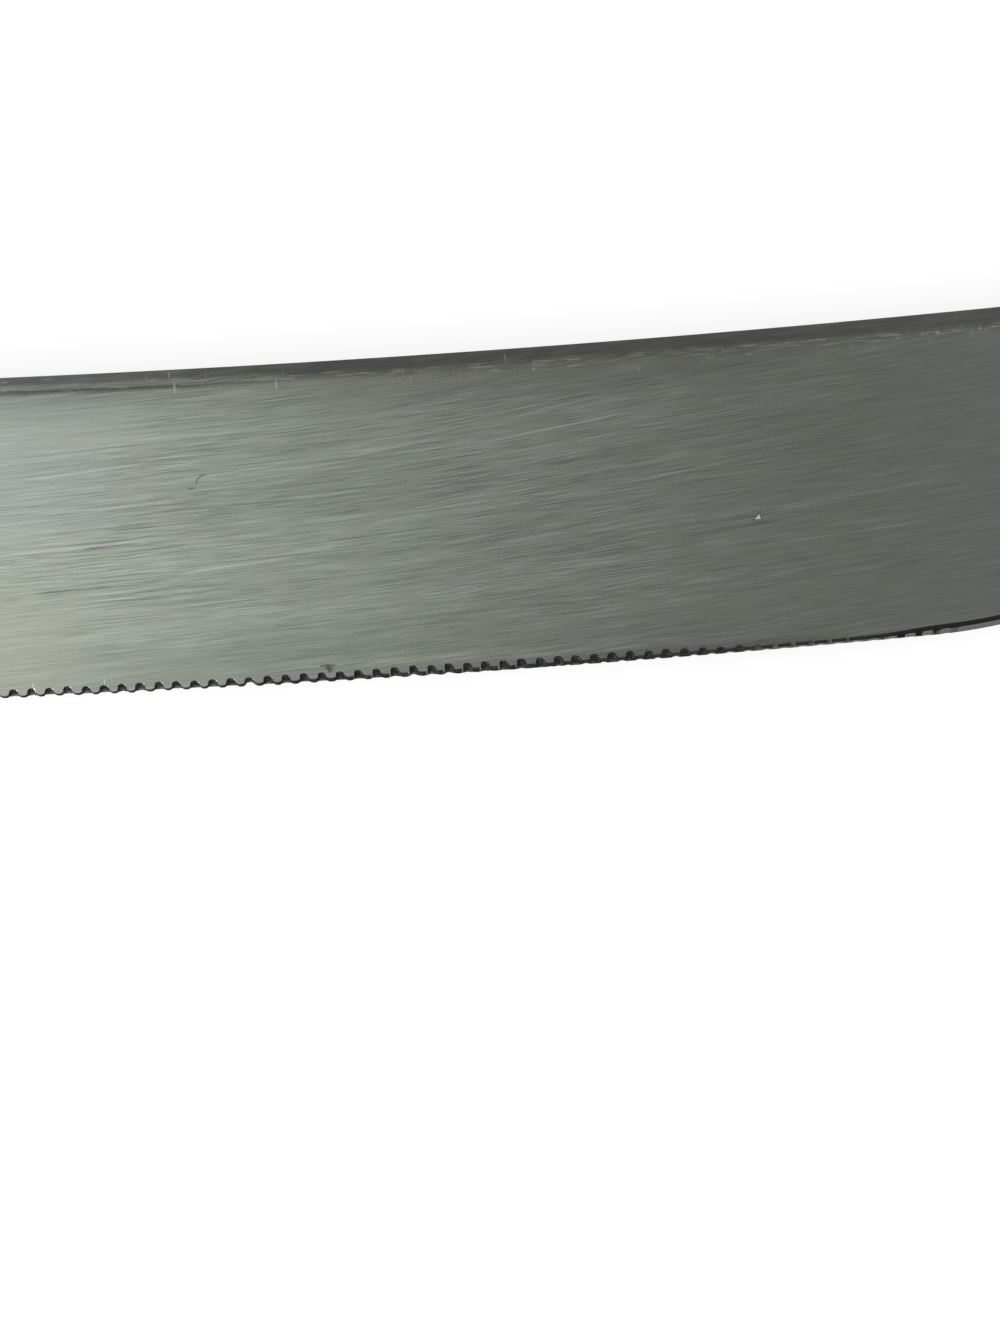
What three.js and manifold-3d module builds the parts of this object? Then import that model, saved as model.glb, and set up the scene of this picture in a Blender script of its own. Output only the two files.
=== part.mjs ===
// A cake knife with a full tang. The blade and tang are one stamping of stainless steel, taper ground towards
// a finely toothed edge. Two nickel-silver bolsters are pinned to the tang, and two hardwood scales are held by
// three cutler's rivets, each of them a post driven into a socket.
// Millimetres, +Z up. The knife lies on its back scale with its point to -X and its spine to +Y. While it is
// built, X is 0 at the bolsters' front, Y is 0 at the handle's back line and Z is 0 in the middle of the tang.

import * as THREE from "three";
import { mergeVertices } from "three/addons/utils/BufferGeometryUtils.js";
import Module from "manifold-3d";

const wasm = await Module();
wasm.setup();

// Blade outline
const BLADE_LENGTH = 196; // bolsters to point
const BLADE_WIDTH = 28; // spine to tooth tips
const SWEEP_RADIUS = 1570; // the whole blade bends upwards this gently
const SWEEP_LOW = 36; // ahead of the bolsters, where that bend is lowest
const HEEL_LENGTH = 36; // bolsters to the first tooth
const HEEL_BELLY_RADIUS = 54; // round part of the heel, next to the teeth
const HEEL_NECK_RADIUS = 20; // hollow part of the heel, next to the bolsters
const POINT_RADIUS = 75; // the edge's sweep up to the point
const POINT_BLUNT = 2.4; // height at which that sweep is rounded off

// Blade thickness and grinding
const BLANK_THICKNESS = 2; // tang and blade root
const POINT_THICKNESS = 0.9; // at the point, level with the handle's back
const EDGE_THICKNESS = 0.85; // behind the edge, at the first tooth
const PLUNGE_LENGTH = 26; // the taper grind fades out over this length ahead of the bolsters
const SPINE_FLAT = 0.5; // thickness left on the top of the spine
const SPINE_BEVEL_HEEL = 2.6; // bevel beside that flat, at the bolsters
const SPINE_BEVEL_POINT = 0.7; // and at the point
const EDGE_FLAT = 0.12; // thickness left at the cutting edge
const EDGE_BEVEL_HEEL = 0.9; // bevel of the edge at the first tooth
const EDGE_BEVEL = 0.25; // and further along
const EDGE_BEVEL_RUN = 40; // length over which it narrows
const BEVEL_ROOM = 8; // blade height below which both bevels shrink, near the point

// Teeth: half-round gullets ground through the edge from the show face, at a slant
const TOOTH_PITCH = 1.5875;
const GULLET_RADIUS = 0.46;
const GULLET_DEPTH = 0.78; // on the show face, above the tooth tips
const GULLET_SLANT = 45; // degrees
const GULLET_FLANK = 0.02; // lean of a gullet's side walls
const TEETH_INTO_POINT = 6; // how far the row runs on into the point's sweep

// Handle
const HANDLE_LENGTH = 114; // bolsters included
const BOLSTER_LENGTH = 15;
const WAIST_PLACE = 34; // from the bolsters' front
const WAIST_HEIGHT = 18.2;
const BUTT_HEIGHT = 24;
const BUTT_ROUND = 15; // length of the rounded end
const HANDLE_DROOP = 3; // fall of the middle line from the bolsters to the butt
const SCALE_THICKNESS = 6.2; // bolsters too
const EDGE_ROUND_IN = 4.6; // rounding of the handle's long edges, across its face
const EDGE_ROUND_DEEP = 4.4; // and down its side

// Rivets and pins
const RIVET_COUNT = 3;
const RIVET_FRONT_INSET = 16; // first rivet, behind the bolsters
const RIVET_BUTT_INSET = 24; // last rivet, from the handle's end
const RIVET_HEAD_RADIUS = 3.6;
const RIVET_HEAD_THICKNESS = 1.8;
const RIVET_SOCKET_RADIUS = 2.3;
const RIVET_POST_RADIUS = 1.4;
const PIN_RADIUS = 1.2;
const PIN_SPREAD = 7; // between the two pins
const CLEARANCE = 0.05; // around and ahead of every rivet and pin

// Facets of the round pieces
const ROUND_SIDES = 20;
const GULLET_STEPS = 4;
const EDGE_ROUND_STEPS = 5;
const OUTLINE_STEPS = 8; // along each curve of the handle's outline
const HEEL_STEPS = 12;
const POINT_STEPS = 14;
const POINT_ROUND_STEPS = [0, 25, 50, 72]; // degrees, round the blunted point

const OVERSHOOT = 1; // by which a cutter passes the faces that it cuts
const ROOT_LAP = 2; // by which the blade runs back into the tang before they are joined
const ROOT_INSET = 0.5; // kept inside the tang's outline there

const { lerp, clamp, smoothstep, degToRad } = THREE.MathUtils;
const halfBlank = BLANK_THICKNESS / 2;
const halfHandle = halfBlank + SCALE_THICKNESS;

const materials = {
  steel: new THREE.MeshStandardMaterial({ color: 0x8c918b, roughness: 0.4, metalness: 1 }),
  nickelSilver: new THREE.MeshStandardMaterial({ color: 0xc9c4b6, roughness: 0.25, metalness: 1 }),
  brass: new THREE.MeshStandardMaterial({ color: 0xc9a25a, roughness: 0.3, metalness: 1 }),
  hardwood: new THREE.MeshStandardMaterial({ color: 0x4a2415, roughness: 0.45, metalness: 0 }),
};

// A closed geometry as a solid that can be joined and cut
function solidOf(geometry) {
  const bare = geometry.clone();
  bare.deleteAttribute("normal");
  bare.deleteAttribute("uv");
  const merged = mergeVertices(bare);
  return new wasm.Manifold(
    new wasm.Mesh({
      numProp: 3,
      vertProperties: merged.attributes.position.array,
      triVerts: new Uint32Array(merged.index.array),
    }),
  );
}

function meshOf(name, solid, material) {
  const { vertProperties, triVerts } = solid.getMesh();
  const geometry = new THREE.BufferGeometry();
  geometry.setAttribute("position", new THREE.BufferAttribute(vertProperties, 3));
  geometry.setIndex(new THREE.BufferAttribute(triVerts, 1));
  geometry.computeVertexNormals();
  const mesh = new THREE.Mesh(geometry, material);
  mesh.name = name;
  return mesh;
}

function boxSolid(low, high) {
  const size = new THREE.Vector3().subVectors(high, low);
  const centre = new THREE.Vector3().addVectors(low, high).multiplyScalar(0.5);
  const box = new THREE.BoxGeometry(size.x, size.y, size.z);
  return solidOf(box.translate(centre.x, centre.y, centre.z));
}

// A round bar that stands along Z
function barSolid(x, y, radius, zLow, zHigh) {
  const bar = new THREE.CylinderGeometry(radius, radius, zHigh - zLow, ROUND_SIDES);
  bar.rotateX(Math.PI / 2);
  return solidOf(bar.translate(x, y, (zLow + zHigh) / 2));
}

// Blade outline, by the distance ahead of the bolsters

const spineAt = (ahead) => ((ahead - SWEEP_LOW) ** 2 - SWEEP_LOW ** 2) / (2 * SWEEP_RADIUS);
const arcRise = (radius, along) => radius - Math.sqrt(radius ** 2 - along ** 2);

// The heel is a belly arc and a neck arc that meet at one slope and end level with the handle's belly
const heelTurn = Math.asin(HEEL_LENGTH / (HEEL_BELLY_RADIUS + HEEL_NECK_RADIUS));
const neckLength = HEEL_NECK_RADIUS * Math.sin(heelTurn);
const heelRise = (HEEL_BELLY_RADIUS + HEEL_NECK_RADIUS) * (1 - Math.cos(heelTurn));
const heelEdge = spineAt(HEEL_LENGTH) - BLADE_WIDTH;
const pointLength = Math.sqrt(POINT_RADIUS ** 2 - (POINT_RADIUS - BLADE_WIDTH + POINT_BLUNT) ** 2);
const pointStart = BLADE_LENGTH - POINT_BLUNT / 2 - pointLength;

function edgeAt(ahead) {
  if (ahead <= neckLength) return heelEdge + heelRise - arcRise(HEEL_NECK_RADIUS, ahead);
  if (ahead <= HEEL_LENGTH) return heelEdge + arcRise(HEEL_BELLY_RADIUS, HEEL_LENGTH - ahead);
  const straight = spineAt(ahead) - BLADE_WIDTH;
  return ahead <= pointStart ? straight : straight + arcRise(POINT_RADIUS, ahead - pointStart);
}

// Half of the blade's thickness: two flat faces that close towards the edge and the point
const backHalf = (ahead) => lerp(halfBlank, POINT_THICKNESS / 2, ahead / BLADE_LENGTH);
const grindSlope = (backHalf(HEEL_LENGTH) - EDGE_THICKNESS / 2) / -heelEdge;
const ground = (ahead) => smoothstep(ahead, 0, PLUNGE_LENGTH);
const halfAt = (ahead, y) => lerp(halfBlank, backHalf(ahead) + grindSlope * y, ground(ahead));

// Teeth, numbered from the heel
const slant = degToRad(GULLET_SLANT);
const gulletCount = Math.floor((pointStart + TEETH_INTO_POINT - HEEL_LENGTH) / TOOTH_PITCH);
const gulletAt = (i) => HEEL_LENGTH + (i + 0.5) * TOOTH_PITCH;

// How far the grinding wheel's round cut reaches from its middle at a place along the edge, 0 between gullets
function gulletReach(ahead) {
  const nearest = clamp(Math.floor((ahead - HEEL_LENGTH) / TOOTH_PITCH), 0, gulletCount - 1);
  const aside = Math.abs(ahead - gulletAt(nearest));
  return aside < GULLET_RADIUS ? Math.sqrt(GULLET_RADIUS ** 2 - aside ** 2) : 0;
}

// One cross-section, from the spine down the show face, round the edge and up the back face
function bladeSection(ahead, spine, edge) {
  const room = Math.min(1, (spine - edge) / BEVEL_ROOM);
  const spineBevel = room * lerp(SPINE_BEVEL_HEEL, SPINE_BEVEL_POINT, ahead / BLADE_LENGTH);
  const narrowed = smoothstep(ahead, HEEL_LENGTH, HEEL_LENGTH + EDGE_BEVEL_RUN);
  const edgeBevel = room * lerp(EDGE_BEVEL_HEEL, EDGE_BEVEL, narrowed);
  const top = lerp(halfAt(ahead, spine), SPINE_FLAT / 2, ground(ahead));
  const shoulder = spine - spineBevel;
  const thick = halfAt(ahead, edge);
  const outline = [
    [spine, top],
    [shoulder, halfAt(ahead, shoulder)],
    [edge + edgeBevel, halfAt(ahead, edge + edgeBevel)],
    [edge, -thick + lerp(2 * thick, EDGE_FLAT, ground(ahead))],
    [edge, -thick],
    [shoulder, -halfAt(ahead, shoulder)],
    [spine, -top],
  ];
  return cutByGullet(outline, ahead, edge, thick).map(([y, z]) => new THREE.Vector3(-ahead, y, z));
}

// The wheel runs at a slant, so in any one section its cut is a straight line that rises to the show face
function cutByGullet(outline, ahead, edge, thick) {
  const reach = gulletReach(ahead);
  if (reach === 0) return outline;
  const [spineFront, shoulderFront, bevel, edgeFront, edgeBack, shoulderBack, spineBack] = outline;
  const top = edge + GULLET_DEPTH - (GULLET_RADIUS - reach) / Math.cos(slant);
  const over = ([y, z]) => y - top - (z - thick) * Math.tan(slant);
  const crossing = (above, below) => {
    const t = over(above) / (over(above) - over(below));
    return [lerp(above[0], below[0], t), lerp(above[1], below[1], t)];
  };
  const front = over(bevel) > 0 ? bevel : crossing(shoulderFront, bevel);
  const back = over(edgeBack) > 0 ? edgeBack : crossing(shoulderBack, edgeBack);
  let middle = [(front[0] + back[0]) / 2, (front[1] + back[1]) / 2];
  if (over(edgeFront) > 0) middle = edgeFront;
  else if (over(bevel) > 0) middle = crossing(bevel, edgeFront);
  else if (over(edgeBack) > 0) middle = crossing(edgeBack, edgeFront);
  return [spineFront, shoulderFront, front, middle, back, shoulderBack, spineBack];
}

const steps = (from, to, count) => Array.from({ length: count }, (_, i) => lerp(from, to, i / count));

// Places along the edge that give each gullet its round top and each tooth its flat tip
function toothPlaces() {
  const flank = GULLET_RADIUS + GULLET_FLANK;
  const round = steps(-90, 90, GULLET_STEPS).slice(1);
  const across = [-flank, ...round.map((degrees) => GULLET_RADIUS * Math.sin(degToRad(degrees))), flank];
  return Array.from({ length: gulletCount }, (_, i) => across.map((aside) => gulletAt(i) + aside)).flat();
}

function bladeSections() {
  const teeth = toothPlaces();
  const pointTurn = Math.asin(pointLength / POINT_RADIUS);
  const point = steps(0, pointTurn, POINT_STEPS).map((turn) => pointStart + POINT_RADIUS * Math.sin(turn));
  const beyondTeeth = point.filter((ahead) => ahead > teeth[teeth.length - 1] + TOOTH_PITCH);
  const places = [...steps(0, HEEL_LENGTH, HEEL_STEPS), ...teeth.sort((a, b) => a - b), ...beyondTeeth];
  const sections = places.map((ahead) => bladeSection(ahead, spineAt(ahead), edgeAt(ahead)));
  const root = bladeSection(0, spineAt(0) - ROOT_INSET, edgeAt(0) + ROOT_INSET);
  sections.unshift(root.map((p) => p.clone().setX(ROOT_LAP)));
  // The point is rounded off in a few steps of a half circle
  const last = pointStart + pointLength;
  const middle = (spineAt(last) + edgeAt(last)) / 2;
  for (const degrees of POINT_ROUND_STEPS) {
    const reach = (POINT_BLUNT / 2) * Math.cos(degToRad(degrees));
    const ahead = last + (POINT_BLUNT / 2) * Math.sin(degToRad(degrees));
    sections.push(bladeSection(ahead, middle + reach, middle - reach));
  }
  return sections;
}

// A closed skin over a row of like convex sections
function loft(sections) {
  const count = sections[0].length;
  const index = [];
  for (let i = 0; i + 1 < sections.length; i++) {
    for (let j = 0; j < count; j++) {
      const a = i * count + j;
      const b = i * count + ((j + 1) % count);
      index.push(a, a + count, b, b, a + count, b + count);
    }
  }
  const end = (sections.length - 1) * count;
  for (let j = 1; j + 1 < count; j++) {
    index.push(0, j, j + 1);
    index.push(end, end + j + 1, end + j);
  }
  const geometry = new THREE.BufferGeometry().setFromPoints(sections.flat());
  return geometry.setIndex(index);
}

// Handle outline: level at the bolsters, the waist and the butt, with easy curves between them

const frontHeight = spineAt(0) - edgeAt(0);
const buttPlace = HANDLE_LENGTH - BUTT_ROUND;
const handleReach = BLADE_WIDTH + BUTT_HEIGHT + HANDLE_DROOP; // beyond its back and its belly
const middleAt = (x) => spineAt(0) - frontHeight / 2 - (HANDLE_DROOP * x) / HANDLE_LENGTH;

const handleStations = [
  [0, frontHeight],
  [WAIST_PLACE, WAIST_HEIGHT],
  [buttPlace, BUTT_HEIGHT],
];

function easedCurve(from, to) {
  return steps(0, 1, OUTLINE_STEPS).map(
    (t) => new THREE.Vector2(lerp(from.x, to.x, t), lerp(from.y, to.y, smoothstep(t, 0, 1))),
  );
}

// The tang has this outline from the bolsters' front; the form around it starts further ahead and is cut there
function handleOutline(lead) {
  const back = handleStations.map(([x, height]) => new THREE.Vector2(x, middleAt(x) + height / 2));
  const belly = handleStations.map(([x, height]) => new THREE.Vector2(x, middleAt(x) - height / 2));
  const buttRound = steps(-90, 90, 2 * OUTLINE_STEPS).map((degrees) => {
    const turn = degToRad(degrees);
    const y = middleAt(buttPlace) + (BUTT_HEIGHT / 2) * Math.sin(turn);
    return new THREE.Vector2(buttPlace + BUTT_ROUND * Math.cos(turn), y);
  });
  const outline = [
    ...easedCurve(belly[0], belly[1]),
    ...easedCurve(belly[1], belly[2]),
    ...buttRound,
    ...easedCurve(back[2], back[1]),
    ...easedCurve(back[1], back[0]),
    back[0],
  ];
  if (lead > 0) {
    outline.unshift(new THREE.Vector2(-lead, belly[0].y));
    outline.push(new THREE.Vector2(-lead, back[0].y));
  }
  return new THREE.Shape(outline);
}

const firstRivet = BOLSTER_LENGTH + RIVET_FRONT_INSET;
const rivetGap = (HANDLE_LENGTH - RIVET_BUTT_INSET - firstRivet) / (RIVET_COUNT - 1);
const rivetSpots = Array.from({ length: RIVET_COUNT }, (_, i) => {
  const x = firstRivet + i * rivetGap;
  return new THREE.Vector2(x, middleAt(x));
});
const pinPlace = BOLSTER_LENGTH / 2;
const pinOffsets = [PIN_SPREAD / 2, -PIN_SPREAD / 2];
const pinSpots = pinOffsets.map((offset) => new THREE.Vector2(pinPlace, middleAt(pinPlace) + offset));

const holeThrough = (spot, radius) =>
  barSolid(spot.x, spot.y, radius + CLEARANCE, -halfHandle - OVERSHOOT, halfHandle + OVERSHOOT);

function bladeSolid() {
  const tang = new THREE.ExtrudeGeometry(handleOutline(0), { depth: BLANK_THICKNESS, bevelEnabled: false });
  let solid = solidOf(tang.translate(0, 0, -halfBlank)).add(solidOf(loft(bladeSections())));
  for (const spot of rivetSpots) solid = solid.subtract(holeThrough(spot, RIVET_SOCKET_RADIUS));
  for (const spot of pinSpots) solid = solid.subtract(holeThrough(spot, PIN_RADIUS));
  return solid;
}

// Bolsters and scales are cut from one rounded handle form, so that they run on into each other
function handleForm() {
  const rounded = new THREE.ExtrudeGeometry(handleOutline(2 * EDGE_ROUND_IN), {
    depth: 2 * (halfHandle - EDGE_ROUND_DEEP),
    bevelThickness: EDGE_ROUND_DEEP,
    bevelSize: EDGE_ROUND_IN,
    bevelOffset: -EDGE_ROUND_IN,
    bevelSegments: EDGE_ROUND_STEPS,
  });
  rounded.translate(0, 0, EDGE_ROUND_DEEP - halfHandle);
  return solidOf(rounded).intersect(solidOf(frontRounding()));
}

// A block as long as the handle, seen from its side, with the bolsters' front edges rounded like the long ones
function frontRounding() {
  const upper = [...steps(0, 90, EDGE_ROUND_STEPS), 90].map((degrees) => {
    const turn = degToRad(degrees);
    const z = halfHandle - EDGE_ROUND_DEEP * (1 - Math.cos(turn));
    return new THREE.Vector2(EDGE_ROUND_IN * (1 - Math.sin(turn)), z);
  });
  const lower = upper.map((p) => new THREE.Vector2(p.x, -p.y)).reverse();
  const end = HANDLE_LENGTH + OVERSHOOT;
  const side = new THREE.Shape([
    new THREE.Vector2(end, -halfHandle),
    new THREE.Vector2(end, halfHandle),
    ...upper,
    ...lower,
  ]);
  const block = new THREE.ExtrudeGeometry(side, { depth: 2 * handleReach, bevelEnabled: false });
  block.rotateX(Math.PI / 2);
  return block.translate(0, handleReach, 0);
}

// The part of the handle form on one side of the tang: side is 1 for the show face and -1 for the back
function handleCut(form, side, xLow, xHigh) {
  const inner = side * halfBlank;
  const outer = side * (halfHandle + OVERSHOOT);
  const low = new THREE.Vector3(xLow, -handleReach, Math.min(inner, outer));
  const high = new THREE.Vector3(xHigh, handleReach, Math.max(inner, outer));
  return form.intersect(boxSolid(low, high));
}

function bolsterSolid(form, side) {
  let solid = handleCut(form, side, -OVERSHOOT, BOLSTER_LENGTH);
  for (const spot of pinSpots) solid = solid.subtract(holeThrough(spot, PIN_RADIUS));
  return solid;
}

function scaleSolid(form, side) {
  let solid = handleCut(form, side, BOLSTER_LENGTH, HANDLE_LENGTH + OVERSHOOT);
  const seat = halfHandle - RIVET_HEAD_THICKNESS - CLEARANCE;
  const outside = halfHandle + OVERSHOOT;
  for (const spot of rivetSpots) {
    solid = solid.subtract(holeThrough(spot, RIVET_SOCKET_RADIUS));
    const [zLow, zHigh] = side > 0 ? [seat, outside] : [-outside, -seat];
    solid = solid.subtract(barSolid(spot.x, spot.y, RIVET_HEAD_RADIUS + CLEARANCE, zLow, zHigh));
  }
  return solid;
}

// Rivet halves are turned from their head's outer face inwards; side says which face that head lies in.
// Like the pins, they are dressed down to the handle's surface afterwards.
function turnedSolid(profile, spot, side) {
  const points = profile.map(([radius, along]) => new THREE.Vector2(radius, along));
  const turned = new THREE.LatheGeometry(points, ROUND_SIDES);
  turned.rotateX((-side * Math.PI) / 2);
  return solidOf(turned.translate(spot.x, spot.y, side * halfHandle));
}

function rivetSocketSolid(spot) {
  const bore = RIVET_POST_RADIUS + CLEARANCE;
  const end = 2 * halfHandle - RIVET_HEAD_THICKNESS - CLEARANCE;
  const profile = [
    [0, 0],
    [RIVET_HEAD_RADIUS, 0],
    [RIVET_HEAD_RADIUS, RIVET_HEAD_THICKNESS],
    [RIVET_SOCKET_RADIUS, RIVET_HEAD_THICKNESS],
    [RIVET_SOCKET_RADIUS, end],
    [bore, end],
    [bore, RIVET_HEAD_THICKNESS],
    [0, RIVET_HEAD_THICKNESS],
  ];
  return turnedSolid(profile, spot, -1);
}

function rivetPostSolid(spot) {
  const end = 2 * halfHandle - RIVET_HEAD_THICKNESS - CLEARANCE;
  const profile = [
    [0, 0],
    [RIVET_HEAD_RADIUS, 0],
    [RIVET_HEAD_RADIUS, RIVET_HEAD_THICKNESS],
    [RIVET_POST_RADIUS, RIVET_HEAD_THICKNESS],
    [RIVET_POST_RADIUS, end],
    [0, end],
  ];
  return turnedSolid(profile, spot, 1);
}

const form = handleForm();
const knife = new THREE.Group();
knife.add(meshOf("blade", bladeSolid(), materials.steel));
knife.add(meshOf("bolster_front", bolsterSolid(form, 1), materials.nickelSilver));
knife.add(meshOf("bolster_back", bolsterSolid(form, -1), materials.nickelSilver));
knife.add(meshOf("scale_front", scaleSolid(form, 1), materials.hardwood));
knife.add(meshOf("scale_back", scaleSolid(form, -1), materials.hardwood));
["upper", "lower"].forEach((name, i) => {
  const pin = barSolid(pinSpots[i].x, pinSpots[i].y, PIN_RADIUS, -halfHandle, halfHandle);
  knife.add(meshOf(`bolster_pin_${name}`, pin.intersect(form), materials.nickelSilver));
});
rivetSpots.forEach((spot, i) => {
  knife.add(meshOf(`rivet_post_${i + 1}`, rivetPostSolid(spot).intersect(form), materials.brass));
  knife.add(meshOf(`rivet_socket_${i + 1}`, rivetSocketSolid(spot).intersect(form), materials.brass));
});

// The origin goes to the middle of the knife's length and width, on the surface that it lies on
const extent = new THREE.Box3().setFromObject(knife);
const centre = extent.getCenter(new THREE.Vector3());
knife.position.set(-centre.x, -centre.y, -extent.min.z);

export default knife;
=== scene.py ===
"""The looks of a cake knife, built around its packed construction.

Lengths are millimetres until they are placed.
"""

import random
from math import asin, copysign, cos, pi, radians, sin, sqrt, tan

import bmesh
import bpy
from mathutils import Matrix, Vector


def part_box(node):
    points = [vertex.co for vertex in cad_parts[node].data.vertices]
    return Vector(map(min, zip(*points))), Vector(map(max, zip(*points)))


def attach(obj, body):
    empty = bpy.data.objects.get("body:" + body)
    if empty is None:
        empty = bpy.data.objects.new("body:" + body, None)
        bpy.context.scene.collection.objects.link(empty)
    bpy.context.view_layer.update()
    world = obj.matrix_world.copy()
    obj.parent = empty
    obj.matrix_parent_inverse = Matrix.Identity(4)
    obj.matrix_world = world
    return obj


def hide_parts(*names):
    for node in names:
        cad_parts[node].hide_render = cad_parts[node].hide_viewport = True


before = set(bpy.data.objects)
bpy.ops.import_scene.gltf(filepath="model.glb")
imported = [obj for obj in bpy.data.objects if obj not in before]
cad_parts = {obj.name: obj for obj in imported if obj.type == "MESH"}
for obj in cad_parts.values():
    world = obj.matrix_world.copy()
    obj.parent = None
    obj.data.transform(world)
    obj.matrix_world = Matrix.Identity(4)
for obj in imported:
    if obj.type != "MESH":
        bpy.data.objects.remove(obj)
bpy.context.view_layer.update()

# Camera. The photograph is taken straight down on a stretch of the blade, from about 21 centimetres.
# Its middle is a point on the toothed edge, and the blade rises a little to the right in it.
MM = 0.001
PHOTO_WIDTH = 1000
PHOTO_HEIGHT = 1333
MM_PER_PHOTO_PIXEL = 0.0875
CAMERA_LENS = 65.0
CAMERA_LONG_SIDE = 36.0
CAMERA_ROLL = radians(5.35)
CAMERA_AHEAD = 73.6
CAMERA_UP = -27.62
CAMERA_NEAR = 10.0

bolster_low, bolster_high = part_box("bolster_front")
blade_low, blade_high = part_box("blade")
KNIFE_ZERO = Vector((bolster_low.x, bolster_high.y, (blade_low.z + blade_high.z) / 2))


def place(ahead, up, out):
    """A point by its distance ahead of the bolsters, above the back line and out of the tang's middle."""
    return KNIFE_ZERO + MM * Vector((-ahead, up, out))


camera_data = bpy.data.cameras.new("camera")
camera_data.lens = CAMERA_LENS
camera_data.sensor_fit = "VERTICAL"
camera_data.sensor_height = CAMERA_LONG_SIDE
camera_data.clip_start = CAMERA_NEAR * MM
camera = bpy.data.objects.new("camera", camera_data)
bpy.context.scene.collection.objects.link(camera)
camera_rise = PHOTO_HEIGHT * MM_PER_PHOTO_PIXEL * CAMERA_LENS / CAMERA_LONG_SIDE
camera.location = place(CAMERA_AHEAD, CAMERA_UP, camera_rise)
camera.rotation_euler = (0, 0, -CAMERA_ROLL)
bpy.context.scene.camera = camera

# Blade and tang. One stamping of steel, taper ground on both faces and glazed lengthwise on a belt.
# Its back is bevelled, and half-round gullets are ground through the edge from the show face, at a slant.
BLADE_LENGTH = 196.0
BLADE_WIDTH = 28.0
SWEEP_RADIUS = 1570.0
SWEEP_LOW = 36.0
HEEL_LENGTH = 36.0
HEEL_BELLY_RADIUS = 54.0
HEEL_NECK_RADIUS = 20.0
POINT_RADIUS = 75.0
POINT_BLUNT = 2.4
BLANK_THICKNESS = 2.0
POINT_THICKNESS = 0.9
EDGE_THICKNESS = 0.85
PLUNGE_LENGTH = 26.0
SPINE_FLAT = 0.5
SPINE_BEVEL_HEEL = 2.6
SPINE_BEVEL_POINT = 0.7
EDGE_FLAT = 0.12
BEVEL_ROOM = 8.0
TOOTH_PITCH = 1.5875
GULLET_RIM = 0.035
TOOTH_TIP_LIFT = 0.14
TIP_LIFT_BEGINS = 64.0
TIP_LIFT_FULL = 96.0
TEETH_INTO_POINT = 6.0
CHIPPED_GULLET = 95.5
CHIPPED_SLANT = 36.0
RUN_OUT_GULLETS = 2
RUN_OUT_END = 39.5
RUN_OUT_DEPTH = 0.10
RUN_OUT_REACH = 0.92
TOOTH_WIDTHS = (0.93, 1.06)
TOOTH_RISES = (0.94, 1.06)
TOOTH_SHIFT = 0.045
TIP_WEAR = (-0.06, 0.01)
TIP_WEAR_BEGINS = 66.0
TIP_WEAR_FULL = 91.0
TIP_ROUNDING = 2.6
BAND_ROUNDING = 1.7
FACET_BREAK = 0.52
FACET_OUT = 0.66
FACETS_BEGIN = 80.0
FACETS_FULL = 104.0
BEVEL_HOLLOW = 1.7
HONED_STRIP = 0.12
DARK_AT_MOST = 0.9

# How the edge changes from heel to point: distance ahead of the bolsters, then a size or share there
DARK_BEVEL = (
    (35, 0.45), (44, 0.30), (56, 0.29), (66, 0.36),
    (74, 0.41), (84, 0.38), (100, 0.18), (196, 0.15),
)
HONED_BEVEL = ((0, 0.43), (35.5, 0.40), (40, 0.14), (62, 0.07), (70, 0.0))
WORN_TIP = ((50, 0.04), (57, 0.09), (66, 0.09), (72, 0.0))
# The next two tables lift the painted shade off the bevel at the tooth tips, in two stretches of the edge
UNSHADED_AHEAD = ((69, 0.0), (73, 0.5), (85, 0.5), (90, 0.0))
UNSHADED_BEHIND = ((41, 0.0), (44, 0.20), (54, 0.26), (58, 0.0))
# Painted shade on the face just above the edge bevel, and how far up it reaches
SHOULDER_SHADE = ((0, 0.20), (36, 0.25), (42, 0.46), (60, 0.46), (66, 0.20), (80, 0.05), (196, 0.0))
SHOULDER_DEPTH = 0.45
GULLET_STOPS = {
    "rise": ((36, 0.46), (48, 0.48), (54, 0.63), (61, 0.8), (68, 0.88), (84, 0.87), (98, 0.74), (196, 0.72)),
    "half_ahead": ((36, 0.36), (56, 0.42), (65, 0.38), (78, 0.31), (88, 0.34), (102, 0.42)),
    "half_behind": ((36, 0.38), (56, 0.46), (65, 0.52), (72, 0.52), (88, 0.46), (102, 0.42)),
    "slant": ((36, 36), (48, 40), (58, 50)),
    "drop": ((36, 0.37), (60, 0.40), (68, 0.50), (84, 0.50), (98, 0.43)),
    "wall": ((62, 2.0), (70, 3.2), (86, 3.2), (98, 2.4)),
    "flank": ((60, 2.0), (70, 2.3), (86, 2.3), (196, 2.4)),
    # The next three rows are the painted shade in each gullet: its strength, its share at the bowl's floor,
    # and how much is lifted off the rim
    "grime": ((33.5, 0.58), (35.2, 0.74), (36.8, 1.0), (39.5, 0.95), (43, 0.68), (50, 0.69), (56, 1.0)),
    "floor": ((54, 0.85), (66, 0.62), (84, 0.62), (104, 0.44)),
    "clean_rim": ((90, 0.0), (97, 0.5)),
}
HANDLE_LENGTH = 114.0
WAIST_PLACE = 34.0
WAIST_HEIGHT = 18.2
BUTT_HEIGHT = 24.0
BUTT_ROUND = 15.0
HANDLE_DROOP = 3.0

FACE_MARGIN = 1.7
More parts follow.
